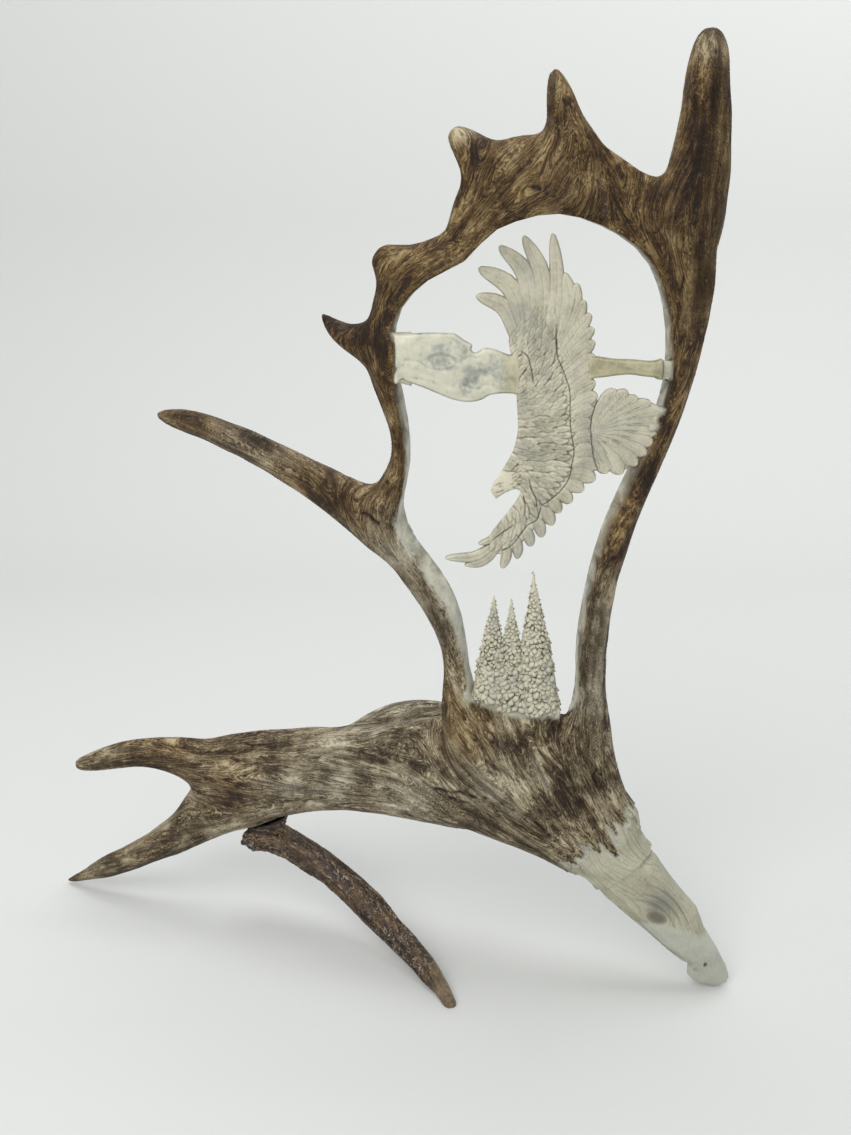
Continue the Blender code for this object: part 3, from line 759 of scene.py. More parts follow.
# The rough model is drawn to the head's own outline, slice by slice, and its end rounded.
slices = np.floor(reach / SLICE).astype(int)
slice_edges = {}
for number in range(slices.min(), slices.max() + 1):
    members = radial[slices == number]
    if len(members) > 8:
        side = members @ head_across
        depth_mm = members @ head_front
        slice_edges[number] = (side.min(), side.max(), 0.5 * (depth_mm.min() + depth_mm.max()))
slice_places = np.array([(number + 0.5) * SLICE for number in slice_edges])
slice_links = np.array([(number, number + 1) for number in range(len(slice_edges) - 1)])
slice_table = averaged(np.array(list(slice_edges.values())), slice_links, 2)
model_low, model_high, model_middle = (np.interp(reach, slice_places, column) for column in slice_table.T)
outline_reach, outline_low, outline_high = np.array(HEAD_OUTLINE).T
wanted_low = np.interp(reach, outline_reach, outline_low)
wanted_high = np.interp(reach, outline_reach, outline_high)
side = radial @ head_across
wanted_side = wanted_low + (side - model_low) / (model_high - model_low) * (wanted_high - wanted_low)
drawn = smoothstep(2.0, 22.0, reach)
roundness = np.sqrt(np.clip(1 - (np.clip(reach - BEAK_ROUNDS, 0, BEAK_END) / BEAK_END) ** 2, 0.05, 1))
depth_mm = radial @ head_front
radial = radial + (drawn * (wanted_side - side))[:, None] * head_across
radial += ((roundness - 1) * (depth_mm - model_middle))[:, None] * head_front
head_co = (np.array(HEAD_START) / MM + reach[:, None] * np.array(HEAD_AXIS) + radial) * MM
head_co = relaxed(head_co, head_edges, 16)
put_places(head_skin, head_co)
head_normal = normals(head_skin)
turn_angle = np.arctan2(radial @ head_across, radial @ head_front)
x_mm, z_mm = head_co[:, 0] / MM, head_co[:, 2] / MM

# The cuts part round the eye like water round a stone, and sway a little down the neck.
eye_offset = np.array([EYE[0] - HEAD_START.x / MM, 0.0, EYE[1] - HEAD_START.z / MM])
eye_reach = eye_offset @ np.array(HEAD_AXIS)
eye_side = eye_offset @ head_across
to_eye_side = radial @ head_across - eye_side
to_eye = np.hypot(reach - eye_reach, to_eye_side) + 1e-6
parting = np.clip(95.0 / to_eye ** 2, 0.0, 0.9)
bent_angle = turn_angle - parting * to_eye_side / 20.0
bent_angle += 0.20 * np.cos((reach - 16) / 15.0) * smoothstep(110, 60, reach)
turns = FEATHER_COUNT / (2 * math.pi)
sway = np.empty(len(head_co))
fine_cuts = np.empty(len(head_co))
for index, (angle, along) in enumerate(zip(bent_angle, reach)):
    round_x, round_y = math.cos(angle), math.sin(angle)
    sway[index] = (noise.noise(Vector((2.2 * round_x, 2.2 * round_y, along / 26.0)))
                   + 0.45 * noise.noise(Vector((7 * round_x, 7 * round_y, along / 13.0))))
    fine_cuts[index] = noise.noise(Vector((2.5 * turns * round_x, 2.5 * turns * round_y, along / 11.0)))
phase = turns * bent_angle + 1.15 * sway
strand = np.abs(np.sin(math.pi * phase))
cere_height = np.interp(x_mm, *np.array(CERE_EDGE).T)
feathered = smoothstep(-0.6, 2.2, z_mm - cere_height)
cut_line = np.exp(-(strand / 0.32) ** 2) * smoothstep(-0.75, -0.1, sway + 0.6 * fine_cuts)
carve = feathered * (0.30 * strand - 0.62 * cut_line + 0.25 * np.abs(fine_cuts))
# Painted shade: the colour darkens in the feather cuts, and below also in the brow cuts, the gape, the eye
# socket ring, the nostril pit and the beak hollow, where shade falls.
head_painted_shade = 0.42 * cut_line * feathered

on_cheek = smoothstep(0.15, 0.5, np.abs(head_normal[:, 1]))
for brow_cut in BROW_CUTS:
    distance, share = distance_to_line(x_mm, z_mm, brow_cut)
    stroke = np.exp(-(distance / 0.75) ** 2) * np.clip(4 * share * (1 - share) + 0.2, 0, 1) * on_cheek
    carve -= 0.75 * stroke
    carve += 0.35 * np.exp(-((distance - 1.9) / 0.9) ** 2) * on_cheek
    head_painted_shade = np.maximum(head_painted_shade, 0.6 * stroke)
distance, share = distance_to_line(x_mm, z_mm, GAPE)
stroke = np.exp(-(distance / 0.6) ** 2) * np.clip(6 * (1 - share), 0, 1)
carve -= 0.8 * stroke
head_painted_shade = np.maximum(head_painted_shade, 0.55 * stroke)
eye_x = (x_mm - EYE[0]) * math.cos(EYE_TILT) + (z_mm - EYE[1]) * math.sin(EYE_TILT)
eye_z = -(x_mm - EYE[0]) * math.sin(EYE_TILT) + (z_mm - EYE[1]) * math.cos(EYE_TILT)
eye_radius = np.hypot(eye_x / EYE_LONG, eye_z / EYE_SHORT)
around_eye = (1 - smoothstep(1.15, 1.6, eye_radius)) * on_cheek
carve *= 1 - around_eye
head_painted_shade *= 1 - around_eye
socket = np.exp(-((eye_radius - 1.0) / 0.2) ** 2) * on_cheek
eye_dome = np.clip(1 - eye_radius ** 2, 0, 1) ** 0.5
carve += on_cheek * (0.9 * eye_dome - 0.25 * (eye_radius < 1.0)) - 0.75 * socket
carve += 0.5 * on_cheek * np.exp(-((eye_radius - 1.5) / 0.22) ** 2)
eyeball = (1 - smoothstep(0.72, 0.98, eye_radius)) * on_cheek
head_painted_shade = np.maximum(head_painted_shade, 0.6 * socket)
pit_distance = np.hypot(x_mm - NOSTRIL[0], z_mm - NOSTRIL[1])
pit = (1 - smoothstep(1.0, 1.9, pit_distance)) * on_cheek
hollow = np.exp(-(((x_mm - BEAK_HOLLOW[0]) / 2.7) ** 2 + ((z_mm - BEAK_HOLLOW[1]) / 1.7) ** 2)) * on_cheek
carve -= 1.9 * pit + 1.2 * hollow
head_painted_shade = np.maximum(head_painted_shade, np.maximum(1.3 * pit, 0.4 * hollow))

bark_gone, = carried_over(head_co, places(bark_skin), [carved])
bark_gone = averaged(bark_gone, head_edges, 4)
carve = carve * bark_gone - 1.6 * (1 - bark_gone)
put_places(head_skin, head_co + head_normal * (carve * MM)[:, None])
brow_shade = np.exp(-(((x_mm - BROW[0]) / 11) ** 2 + ((z_mm - BROW[1]) / 9) ** 2)) * feathered
for name, values in (("dark", head_painted_shade), ("ridge", carve * feathered * bark_gone), ("eyeball", eyeball),
                     ("beak", 1 - feathered), ("brow_shade", brow_shade)):
    store(head_skin, name, values)
head_skin.shade_smooth()

head_ivory = Nodes("eagle_head_ivory")
head_place = head_ivory.place()
head_broad = head_ivory.grains(head_place, 60.0, 4.0, 0.62)
head_fine = head_ivory.grains(head_place, 800.0, 3.0, 0.6)
# The ridge term is painted light and shade: raised carving is lighter, cut-in parts darker.
head_tone = head_ivory.sum((head_broad, 0.42), (head_fine, 0.26), (head_ivory.attribute("ridge"), 0.28),
                           (0.5, 0.24))
feather_colour = head_ivory.ramp(head_tone, [(0.22, (0.17, 0.155, 0.10)), (0.40, (0.36, 0.345, 0.245)),
                                             (0.56, (0.52, 0.505, 0.38)), (0.78, (0.64, 0.62, 0.49))])
beak_colour = head_ivory.ramp(head_tone, [(0.30, (0.32, 0.325, 0.27)), (0.50, (0.475, 0.48, 0.40)),
                                          (0.72, (0.49, 0.49, 0.405))])
head_colour = head_ivory.mix(head_ivory.attribute("beak"), feather_colour, beak_colour)
# brow_shade and dark darken the colour as painted shade; eyeball is the eye's own dark colour.
for name, strength, shade in (("brow_shade", 0.85, (0.185, 0.19, 0.165)),
                              ("eyeball", 0.9, (0.125, 0.12, 0.085)),
                              ("dark", 1.0, (0.085, 0.072, 0.047))):
    head_colour = head_ivory.mix(head_ivory.sum((head_ivory.attribute(name), strength)), head_colour, shade)
head_ivory.feed(head_ivory.shader.inputs["Base Color"], head_colour)
head_roughness = head_ivory.sum((head_ivory.attribute("beak"), -0.18),
                                (head_ivory.attribute("eyeball"), -0.2), (0.58, 1.0))
head_ivory.feed(head_ivory.shader.inputs["Roughness"], head_roughness)
head_ivory.translucent()
head_ivory.bump(head_fine, 0.0004, 0.5)

head_skin = thinned(head_skin, HEAD_TRIANGLES)
eagle_head = in_scene("carved_eagle_head", head_skin)
head_skin.materials.clear()
head_skin.materials.append(head_ivory.material)
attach(eagle_head, "root")
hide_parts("eagle_head")


# ---------------------------------------------------------------------------------------------
# The flying eagle: sawn free from the palm's ivory core and carved in low relief on both faces.
# Five spread primaries reach up, shingled coverts and secondaries fill the wing, the tail fans
# out to the rim and the far wing drops behind the head.
EAGLE_STEP = 0.5                # millimetres, as all sizes of this figure
EAGLE_LOW = (44.0, 284.0)
EAGLE_HIGH = (180.0, 494.0)
EAGLE_DEPTH = -53.0
EAGLE_EDGE = 1.5                # half thickness at the outline
EAGLE_RELIEF = 2.1
BODY_OUTLINE = [
    (90, 434), (87, 428), (90, 414), (92, 398), (93, 385), (93.5, 375), (92, 366), (90, 360), (85, 351),
    (81, 345), (78.3, 340), (78, 336.5), (79.5, 334.6), (81, 332.6), (82.3, 333.6), (86, 336), (92, 338.5),
    (95.5, 337.5), (95, 334), (89, 325), (84, 319), (79, 312), (76, 306), (80, 299), (88, 298), (97, 305),
    (104, 313), (110, 320), (116, 328), (124, 334), (133, 341), (139, 350), (142, 353), (148, 350),
    (160, 351), (170, 364), (174, 376), (173, 386), (165, 393), (154, 396), (146, 394), (141, 392),
    (137, 400), (136, 420), (133, 438), (125, 452), (120, 462), (110, 452), (96, 440)]
# Feathers of the near wing's hand and hem: root, bend, tip and half width.
LONG_FEATHERS = [
    ((112, 432), (114.6, 462), (111.6, 489.2), 4.3), ((106, 432), (105.6, 465), (94.6, 487.8), 5.2),
    ((101, 434), (96, 466), (80.6, 482.0), 5.5), ((96, 433), (88, 458), (68.8, 469.6), 5.7),
    ((92, 431), (83.5, 447.5), (67.6, 453.8), 5.0)]
HEM_FEATHERS = [
    ((116, 430), (122, 450), (119, 467), 4.8), ((117, 428), (124, 446), (126.4, 461), 5.0),
    ((117, 425), (126, 440), (131, 451.5), 5.0), ((117, 421), (127, 434), (135, 443.5), 5.0),
    ((117, 416), (128, 428), (137.2, 435), 5.0), ((118, 411), (128, 420), (137.8, 427.5), 5.0),
    ((119, 406), (129, 413), (138, 419.5), 5.0), ((121, 400), (130, 407), (138.4, 411.5), 5.0),
    ((123, 394), (131, 400), (139, 403.5), 5.0), ((124, 388), (132, 393), (140.5, 396), 5.0),
    ((125, 382), (132, 386), (138.5, 388), 5.0), ((125, 375), (132, 378.5), (137, 380), 5.0),
    ((126, 368), (132, 371), (138, 371.5), 5.0), ((126, 361), (133, 363), (139.5, 363), 5.0),
    ((126, 354), (134, 354.5), (143, 352.6), 5.0), ((124, 348), (132, 348), (141, 344.6), 5.2),
    ((121, 342), (128, 341), (134, 337.6), 4.4), ((117, 337), (122, 335), (126.6, 330), 4.2),
    ((112, 333), (116, 330), (120, 323.8), 4.0), ((107, 328), (112, 324), (115.6, 316), 4.0),
    ((102, 322), (107, 317), (109.4, 308.4), 3.8), ((97, 316), (101, 310), (102.8, 302.6), 3.6),
    ((91, 312), (94.5, 303), (94.4, 294.8), 3.4), ((86, 308), (88, 298), (85.2, 288.6), 3.2),
    ((86, 306), (74, 293.5), (62.0, 290.8), 2.9), ((86, 310), (70, 297), (50.0, 295.4), 3.3),
    ((84, 313), (78, 307), (70.4, 304.2), 2.2)]
TAIL_ROOT = (136.5, 373)
TAIL_TIPS = [
    (151, 399.3), (158, 398.6), (164.5, 394.5), (172.5, 391.5), (179, 386.5), (177, 379.5), (177, 373),
    (175.5, 366.5), (171.5, 360), (166, 353.5), (157, 348), (147.5, 348.2)]
# The direction in which the small feathers point, at heights down the bird.
FEATHER_LIE = [(305, -118), (318, -82), (332, -48), (346, -14), (362, -4), (378, 6), (392, 26), (408, 48),
               (424, 66), (440, 82)]
CUT_LINES = [
    [(114.3, 437), (115, 426), (116, 418), (119, 411.5), (121.5, 405), (123.5, 399), (124, 390),
     (124.6, 377), (126, 369), (127.2, 361), (126, 354), (124.6, 345.5), (120, 338), (114, 332.5),
     (108.5, 329)],
    [(140.5, 393), (138, 386), (136.6, 378), (137.2, 370), (138.6, 361), (140.2, 355), (142, 351)],
    [(94, 422), (98, 419), (100, 413), (102, 403)], [(100.5, 346), (102, 339), (105, 333), (105.5, 328)],
    [(108.5, 329), (106, 320), (100, 316), (95, 309), (90, 303), (84, 300)],
    [(80, 308), (85, 312), (92, 317)],
    [(97, 336), (98.5, 329), (98, 322)]]


class Relief:
    """A flat carving drawn on a grid: how far inside the outline, and how high, each point is."""

    def __init__(self, low, high, step):
        self.step = step
        self.x, self.z = np.meshgrid(np.arange(low[0], high[0], step), np.arange(low[1], high[1], step),
                                     indexing="ij")
        self.inside = np.full(self.x.shape, -20.0)
        self.height = np.zeros(self.x.shape)
        self.along = np.zeros(self.x.shape)
        self.across = np.zeros(self.x.shape)
        self.tint = np.full(self.x.shape, 0.5)
        self.cut = np.zeros(self.x.shape)

    def window(self, points, margin):
        """The part of the grid round some points."""
        low = (points.min(axis=0) - margin - (self.x[0, 0], self.z[0, 0])) / self.step
        high = (points.max(axis=0) + margin - (self.x[0, 0], self.z[0, 0])) / self.step
        return tuple(slice(max(0, int(a)), max(0, int(b) + 2)) for a, b in zip(low, high))

    def to_line(self, points, view):
        """Distance past the line's side (signed), share along it, and distance beyond its ends."""
        x, z = self.x[view], self.z[view]
        best = np.full(x.shape, 1e9)
        side = np.zeros(x.shape)
        along = np.zeros(x.shape)
        lengths = np.linalg.norm(np.diff(points, axis=0), axis=1)
        walked = 0.0
        for start, end, length in zip(points, points[1:], lengths):
            ux, uz = (end - start) / length
            share = np.clip((x - start[0]) * ux + (z - start[1]) * uz, 0, length)
            dx = x - start[0] - ux * share
            dz = z - start[1] - uz * share
            distance = np.hypot(dx, dz)
            nearer = distance < best
            best = np.where(nearer, distance, best)
            side = np.where(nearer, ux * dz - uz * dx, side)
            along = np.where(nearer, walked + share, along)
            walked += length
        return best, np.copysign(best, side), along, walked

    def polygon(self, points, view=None):
        """Signed distance inside a closed outline."""
        view = view or (slice(None), slice(None))
        loop = np.vstack([points, points[:1]])
        distance = self.to_line(loop, view)[0]
        odd = np.zeros(distance.shape, dtype=bool)
        x, z = self.x[view], self.z[view]
        for (ax, az), (bx, bz) in zip(loop, loop[1:]):
            if az != bz:
                odd ^= ((az > z) != (bz > z)) & (x < ax + (z - az) / (bz - az) * (bx - ax))
        return np.where(odd, distance, -distance)

    def feather(self, line, half_width, base, rise, tint, shaft=0.35, taper=0.5, root_width=0.4,
                crown=0.45, shapes_edge=True):
        """A leaf-shaped feather laid over what is there, wherever it stands higher."""
        points = smooth_line(line, 5)
        view = self.window(points, half_width + 1.0)
        distance, side, along, length = self.to_line(points, view)
        share = along / length
        tip = np.clip((share - taper) / (1 - taper), 0, 1)
        widening = root_width + (1 - root_width) * smoothstep(0.0, 0.5, share)
        width = half_width * widening * (1 - tip ** 2) ** 0.5 + 0.05
        inside = width - distance
        across = np.clip(side / width, -1.2, 1.2)
        height = (base + rise * share + crown * (1 - across ** 2) + 0.16 * across
                  - shaft * np.exp(-(side / 0.34) ** 2) * (share < 0.93))
        height -= 0.7 * (1 - smoothstep(-0.1, 0.9, inside))
        wins = (inside > -0.15) & (height > self.height[view])
        self.height[view] = np.where(wins, height, self.height[view])
        self.along[view] = np.where(wins, along, self.along[view])
        self.across[view] = np.where(wins, np.abs(side), self.across[view])
        self.tint[view] = np.where(wins, tint, self.tint[view])
        if shapes_edge:
            self.inside[view] = np.maximum(self.inside[view], inside)

    def groove(self, line, width, depth, darkness=1.0):
        """A cut along a line, fading out at its ends; its darkness is painted shade in the cut."""
        points = smooth_line(line, 5)
        view = self.window(points, 3 * width)
        distance, _, along, length = self.to_line(points, view)
        fade = np.clip(np.minimum(along, length - along) / 2.5 + 0.25, 0, 1)
        stroke = np.exp(-(distance / width) ** 2) * fade
        self.height[view] -= depth * stroke
        self.cut[view] = np.maximum(self.cut[view], darkness * stroke)


def blurred(grid, radius, rounds=3):
    """A grid of values averaged over a square neighbourhood, several times."""
    for _ in range(rounds):
        for axis in (0, 1):
            padded = np.concatenate([np.repeat(grid.take([0], axis), radius + 1, axis), grid,
                                     np.repeat(grid.take([-1], axis), radius, axis)], axis)
            total = np.cumsum(padded, axis)
            span = 2 * radius + 1
            size = grid.shape[axis]
            grid = (total.take(range(span, span + size), axis) - total.take(range(size), axis)) / span
    return grid


def relief_mesh(name, relief, depth, half_thickness, front, back):
    """Closed two-faced carving from a relief; front and back are heights over the half thickness."""
    solid = relief.inside
    mean = (solid[:-1, :-1] + solid[1:, :-1] + solid[:-1, 1:] + solid[1:, 1:]) / 4
    kept = mean > 0
    for _ in range(3):
        a, b, c, d = kept[:-1, :-1], kept[1:, :-1], kept[:-1, 1:], kept[1:, 1:]
        crossing = a & d & ~b & ~c
        other = b & c & ~a & ~d
        b |= crossing
        a |= other
    used = np.zeros(solid.shape, dtype=int)
    for di in (0, 1):
        for dj in (0, 1):
            used[di:di + kept.shape[0], dj:dj + kept.shape[1]] += kept
    rim = (used > 0) & (used < 4)
    slope_x, slope_z = np.gradient(solid, relief.step)
    steep = slope_x ** 2 + slope_z ** 2 + 1e-6
    pull = np.clip(-solid / steep, -0.6 * relief.step, 0.6 * relief.step) * rim
    x = relief.x + pull * slope_x / np.sqrt(steep)
    z = relief.z + pull * slope_z / np.sqrt(steep)
    number = np.full(solid.shape, -1)
    number[used > 0] = np.arange((used > 0).sum())
    count = (used > 0).sum()
    face_y = [depth - half_thickness - front, depth + half_thickness + back]
    co = [np.stack([x[used > 0], y[used > 0], z[used > 0]], axis=1) for y in face_y]
    i, j = np.nonzero(kept)
    quads = np.stack([number[i, j], number[i + 1, j], number[i + 1, j + 1], number[i, j + 1]], axis=1)
    faces = [quads, quads[:, ::-1] + count]
    shell = np.pad(kept, 1)
    for di, dj, first, second in ((0, -1, (0, 0), (1, 0)), (0, 1, (1, 1), (0, 1)),
                                  (-1, 0, (0, 1), (0, 0)), (1, 0, (1, 0), (1, 1))):
        open_side = ~shell[1 + i + di, 1 + j + dj]
        a = number[i[open_side] + first[0], j[open_side] + first[1]]
        b = number[i[open_side] + second[0], j[open_side] + second[1]]
        faces.append(np.stack([b, a, a + count, b + count], axis=1))
    mesh = bpy.data.meshes.new(name)
    mesh.from_pydata((np.vstack(co) * MM).tolist(), [], np.vstack(faces).tolist())
    mesh.validate()
    for attribute in ("along", "across", "tint", "cut"):
        store(mesh, attribute, np.tile(getattr(relief, attribute)[used > 0], 2))
    # hollow is the height above its blurred self: the materials paint shade where it is low and highlight
    # where it is high.
    hollow = relief.height - blurred(relief.height, max(1, int(0.9 / relief.step)))
    store(mesh, "hollow", np.tile(hollow[used > 0], 2))
    mesh.shade_smooth()
    return mesh


eagle = Relief(EAGLE_LOW, EAGLE_HIGH, EAGLE_STEP)
body_line = smooth_line(BODY_OUTLINE + BODY_OUTLINE[:1], 3)[:-1]
eagle.inside = eagle.polygon(body_line)
eagle_dice = np.random.default_rng(21)
for root, bend, tip, half_width in LONG_FEATHERS:
    eagle.feather([root, bend, tip], half_width, 0.3, 0.25, eagle_dice.uniform(0.6, 0.95), taper=0.5,
                  root_width=0.95)
for root, bend, tip, half_width in HEM_FEATHERS:
    eagle.feather([root, bend, tip], half_width, 0.3, 0.25, eagle_dice.uniform(0.3, 0.9), taper=0.55)
for tip in TAIL_TIPS:
    bend = [0.5 * (TAIL_ROOT[0] + tip[0]), 0.5 * (TAIL_ROOT[1] + tip[1]) + 0.05 * (tip[0] - TAIL_ROOT[0])]
    eagle.feather([TAIL_ROOT, bend, tip], 5.4, 0.35, 0.1, eagle_dice.uniform(0.5, 1.0), 0.25, taper=0.72)
lie_heights, lie_angles = np.array(FEATHER_LIE).T
covert_rows = []
for row, z in enumerate(np.arange(304.0, 446.0, 3.4)):
    for x in np.arange(74.0 + 2.2 * (row % 2), 136.0, 4.4):
        covert_rows.append((x + eagle_dice.uniform(-1.0, 1.0), z + eagle_dice.uniform(-0.8, 0.8)))
for x, z in covert_rows:
    i = int((x - EAGLE_LOW[0]) / EAGLE_STEP)
    j = int((z - EAGLE_LOW[1]) / EAGLE_STEP)
    hem = np.interp(z, [300, 318, 330, 340, 355, 440], [84, 98, 107, 118, 124, 113])
    if eagle.polygon(body_line, (slice(i, i + 1), slice(j, j + 1)))[0, 0] < 0.4 or x > hem + 1.0:
        continue
    if x < 94 and 331 < z < 349:
        continue
    angle = math.radians(np.interp(z, lie_heights, lie_angles) + eagle_dice.uniform(-9, 9)
                         + 0.25 * (x - 106))
    length = eagle_dice.uniform(8.0, 11.5)
    ahead = np.array([math.cos(angle), math.sin(angle)]) * length
    root = np.array([x, z]) - 0.6 * ahead
    side = np.array([-ahead[1], ahead[0]]) * eagle_dice.uniform(-0.06, 0.06)
    eagle.feather([root, root + 0.5 * ahead + side, root + ahead], eagle_dice.uniform(1.8, 2.4), 0.8, 0.32,
                  eagle_dice.uniform(0.0, 1.0), shaft=0.2, taper=0.35, crown=0.26, shapes_edge=False)
for line in CUT_LINES:
    eagle.groove(line, 0.30, 0.7)
# Head: brow, eye, gape and the fine strokes of the neck.
eagle.groove([(79.6, 340.6), (82, 341.8), (85.5, 342.6)], 0.5, 0.4, 0.6)
eagle.groove([(82.4, 340.6), (84.2, 340.5)], 0.75, 0.9, 1.0)
eagle.groove([(80, 336.4), (83, 337.0), (86, 338.6)], 0.35, 0.5, 0.7)
for stroke in range(26):
    start = np.array([eagle_dice.uniform(85.5, 94), eagle_dice.uniform(339.5, 358)])
    if start[0] < 79 + 0.42 * (start[1] - 336) + 4:
        continue
    heading = math.radians(28 + 2.3 * (start[1] - 342) + eagle_dice.uniform(-10, 10))
    end = start + np.array([math.cos(heading), math.sin(heading)]) * eagle_dice.uniform(3, 5.5)
    eagle.groove([start, (start + end) / 2 + (0.2, -0.2), end], 0.36, 0.3, 0.55)

dome = smoothstep(0.0, 16.0, blurred(np.clip(eagle.inside, 0, 16), int(2.5 / EAGLE_STEP)))
eagle_bevel = 1.0 - smoothstep(0.0, 1.3, eagle.inside)
eagle_front = EAGLE_RELIEF * dome + eagle.height - eagle_bevel
eagle_back = EAGLE_RELIEF * dome + 0.75 * eagle.height - eagle_bevel
eagle_mesh = relief_mesh("flying_eagle", eagle, EAGLE_DEPTH, EAGLE_EDGE, eagle_front, eagle_back)


def carved_ivory(name, barb_pitch, barb_slant, barb_depth):
    """Carved antler core: cream feathers with fine barbs, painted shade in the cuts and hollows, painted
    highlight on the raised parts, and grey marrow mottling.
    """
    ivory = Nodes(name)
    place = ivory.place()
    broad = ivory.grains(place, 70.0, 3.0, 0.6)
    fine = ivory.grains(place, 620.0, 3.0, 0.65)
    wave = ivory.add("ShaderNodeMath", {"operation": "SINE"})
    phase = ivory.sum((ivory.attribute("along"), 6.2832 / barb_pitch),
                      (ivory.attribute("across"), -6.2832 * barb_slant / barb_pitch), (broad, 5.0))
    ivory.feed(wave.inputs[0], phase)
    barb = wave.outputs[0]
    # hollow paints shade in the low parts and highlight on the raised ones.
    tone = ivory.sum((broad, 0.55), (fine, 0.35), (ivory.attribute("tint"), 0.14),
                     (ivory.attribute("hollow"), 0.42), (barb, 0.05 * barb_depth), (0.5, 0.13))
    colour = ivory.ramp(tone, [(0.22, (0.13, 0.11, 0.07)), (0.36, (0.30, 0.275, 0.19)),
                               (0.50, (0.49, 0.46, 0.345)), (0.64, (0.66, 0.625, 0.48)),
                               (0.85, (0.82, 0.78, 0.62))])
    marrow = ivory.grains(place, 42.0, 4.0, 0.65)
    patch = ivory.ramp(marrow, [(0.50, (0, 0, 0)), (0.66, (1, 1, 1))])
    colour = ivory.mix(ivory.sum((patch, 0.40)), colour, (0.30, 0.305, 0.28))
    # Painted shade in the cuts.
    colour = ivory.mix(ivory.attribute("cut"), colour, (0.075, 0.060, 0.040))
    ivory.feed(ivory.shader.inputs["Base Color"], colour)
    ivory.shader.inputs["Roughness"].default_value = 0.55
    ivory.translucent()
    ivory.bump(ivory.sum((barb, 0.6 * barb_depth), (fine, 0.5)), 0.0005, 0.7)
    return ivory.material


feathered_ivory = carved_ivory("feathered_ivory", 1.3, 1.35, 0.8)
eagle_mesh.materials.append(feathered_ivory)
flying_eagle = in_scene("flying_eagle_carving", eagle_mesh)
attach(flying_eagle, "root")
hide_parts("flying_eagle")


# ---------------------------------------------------------------------------------------------
# Two bands of cloud left standing in the core, smooth and mottled with grey marrow. They hold
# the eagle between the rim's two sides.
CLOUD_STEP = 0.6                # millimetres, as all sizes of the clouds
CLOUD_DEPTH = -53.5
CLOUD_EDGE = 2.4
LEFT_CLOUD = [
    (19, 431.4), (25, 431.6), (38, 432.4), (52, 432.2), (56, 431.4), (61, 428), (65.3, 425.6), (65, 422.6),
    (67, 420.8), (69.4, 421.6), (72.5, 423.4), (77, 423.2), (82, 421.6), (87, 419.6), (93, 418.5),
    (94, 398), (89, 396.8), (83, 396.9), (76, 395.8), (70.5, 392.8), (63, 391.8), (55, 393), (47, 396),
    (39, 399.4), (32, 402), (26.5, 404), (24, 405.2), (19, 404)]
RIGHT_CLOUD = [
    (134, 419.6), (140, 418.6), (150, 417.2), (160, 416.8), (169, 416.0), (174, 416.2), (178.5, 416.6),
    (178.5, 405.4), (174, 406.2), (167, 407), (159, 408), (152, 407.5), (145, 406.6), (139, 406),
    (134, 405.4)]
CLOUD_FOLDS = [
    [(24, 417), (33, 416), (38, 413), (43, 411.4), (50, 411.2), (55, 413.5)],
    [(40, 418.5), (47, 420.5), (53, 418.5), (57, 415)], [(57, 415), (64, 419), (70, 417.5)],
    [(28, 406.5), (38, 405), (47, 402)], [(60, 402), (68, 400), (74, 402.5), (80, 401)],
    [(140, 411.5), (152, 412.3), (166, 411.2)]]


def cloud_relief(outline):
    """A cloud band between two long soft edges."""
    line = smooth_line(outline + outline[:1], 4)[:-1]
    band = Relief(line.min(axis=0) - 1.5, line.max(axis=0) + 1.5, CLOUD_STEP)
    band.inside = band.polygon(line)
    for fold in CLOUD_FOLDS:
        inside_band = all(line[:, 0].min() < x < line[:, 0].max() for x, _ in fold)
        if inside_band:
            band.groove(fold, 1.1, 0.55, 0.0)
    billow = np.zeros(band.x.shape)
    for i, j in np.ndindex(*band.x.shape):
        billow[i, j] = noise.noise(Vector((band.x[i, j] * 0.11, band.z[i, j] * 0.16, 4.0)))
    band.height = 0.6 * band.height + 0.7 * billow + 0.8 * smoothstep(0, 6.0, band.inside)
    band.height -= 1 - smoothstep(0.0, 1.5, band.inside)
    return band


cloud_ivory = Nodes("cloud_ivory")
cloud_place = cloud_ivory.place()
cloud_broad = cloud_ivory.grains(cloud_place, 55.0, 3.0, 0.55)
cloud_fine = cloud_ivory.grains(cloud_place, 330.0, 4.0, 0.65)
# hollow paints shade in the cloud's folds and highlight on its raised billows.
cloud_tone = cloud_ivory.sum((cloud_broad, 0.8), (cloud_fine, 0.35), (cloud_ivory.attribute("hollow"), 0.5),
                             (0.5, -0.17))
cloud_colour = cloud_ivory.ramp(cloud_tone, [(0.32, (0.25, 0.26, 0.235)), (0.42, (0.40, 0.405, 0.35)),
                                             (0.50, (0.58, 0.57, 0.455)), (0.70, (0.72, 0.695, 0.55))])
cloud_olive = cloud_ivory.ramp(cloud_tone, [(0.35, (0.25, 0.225, 0.125)), (0.65, (0.52, 0.475, 0.29))])
cloud_colour = cloud_ivory.mix(cloud_ivory.attribute("tint"), cloud_colour, cloud_olive)
cloud_ivory.feed(cloud_ivory.shader.inputs["Base Color"], cloud_colour)
cloud_ivory.shader.inputs["Roughness"].default_value = 0.5
cloud_ivory.translucent()
cloud_ivory.bump(cloud_fine, 0.0006, 0.4)
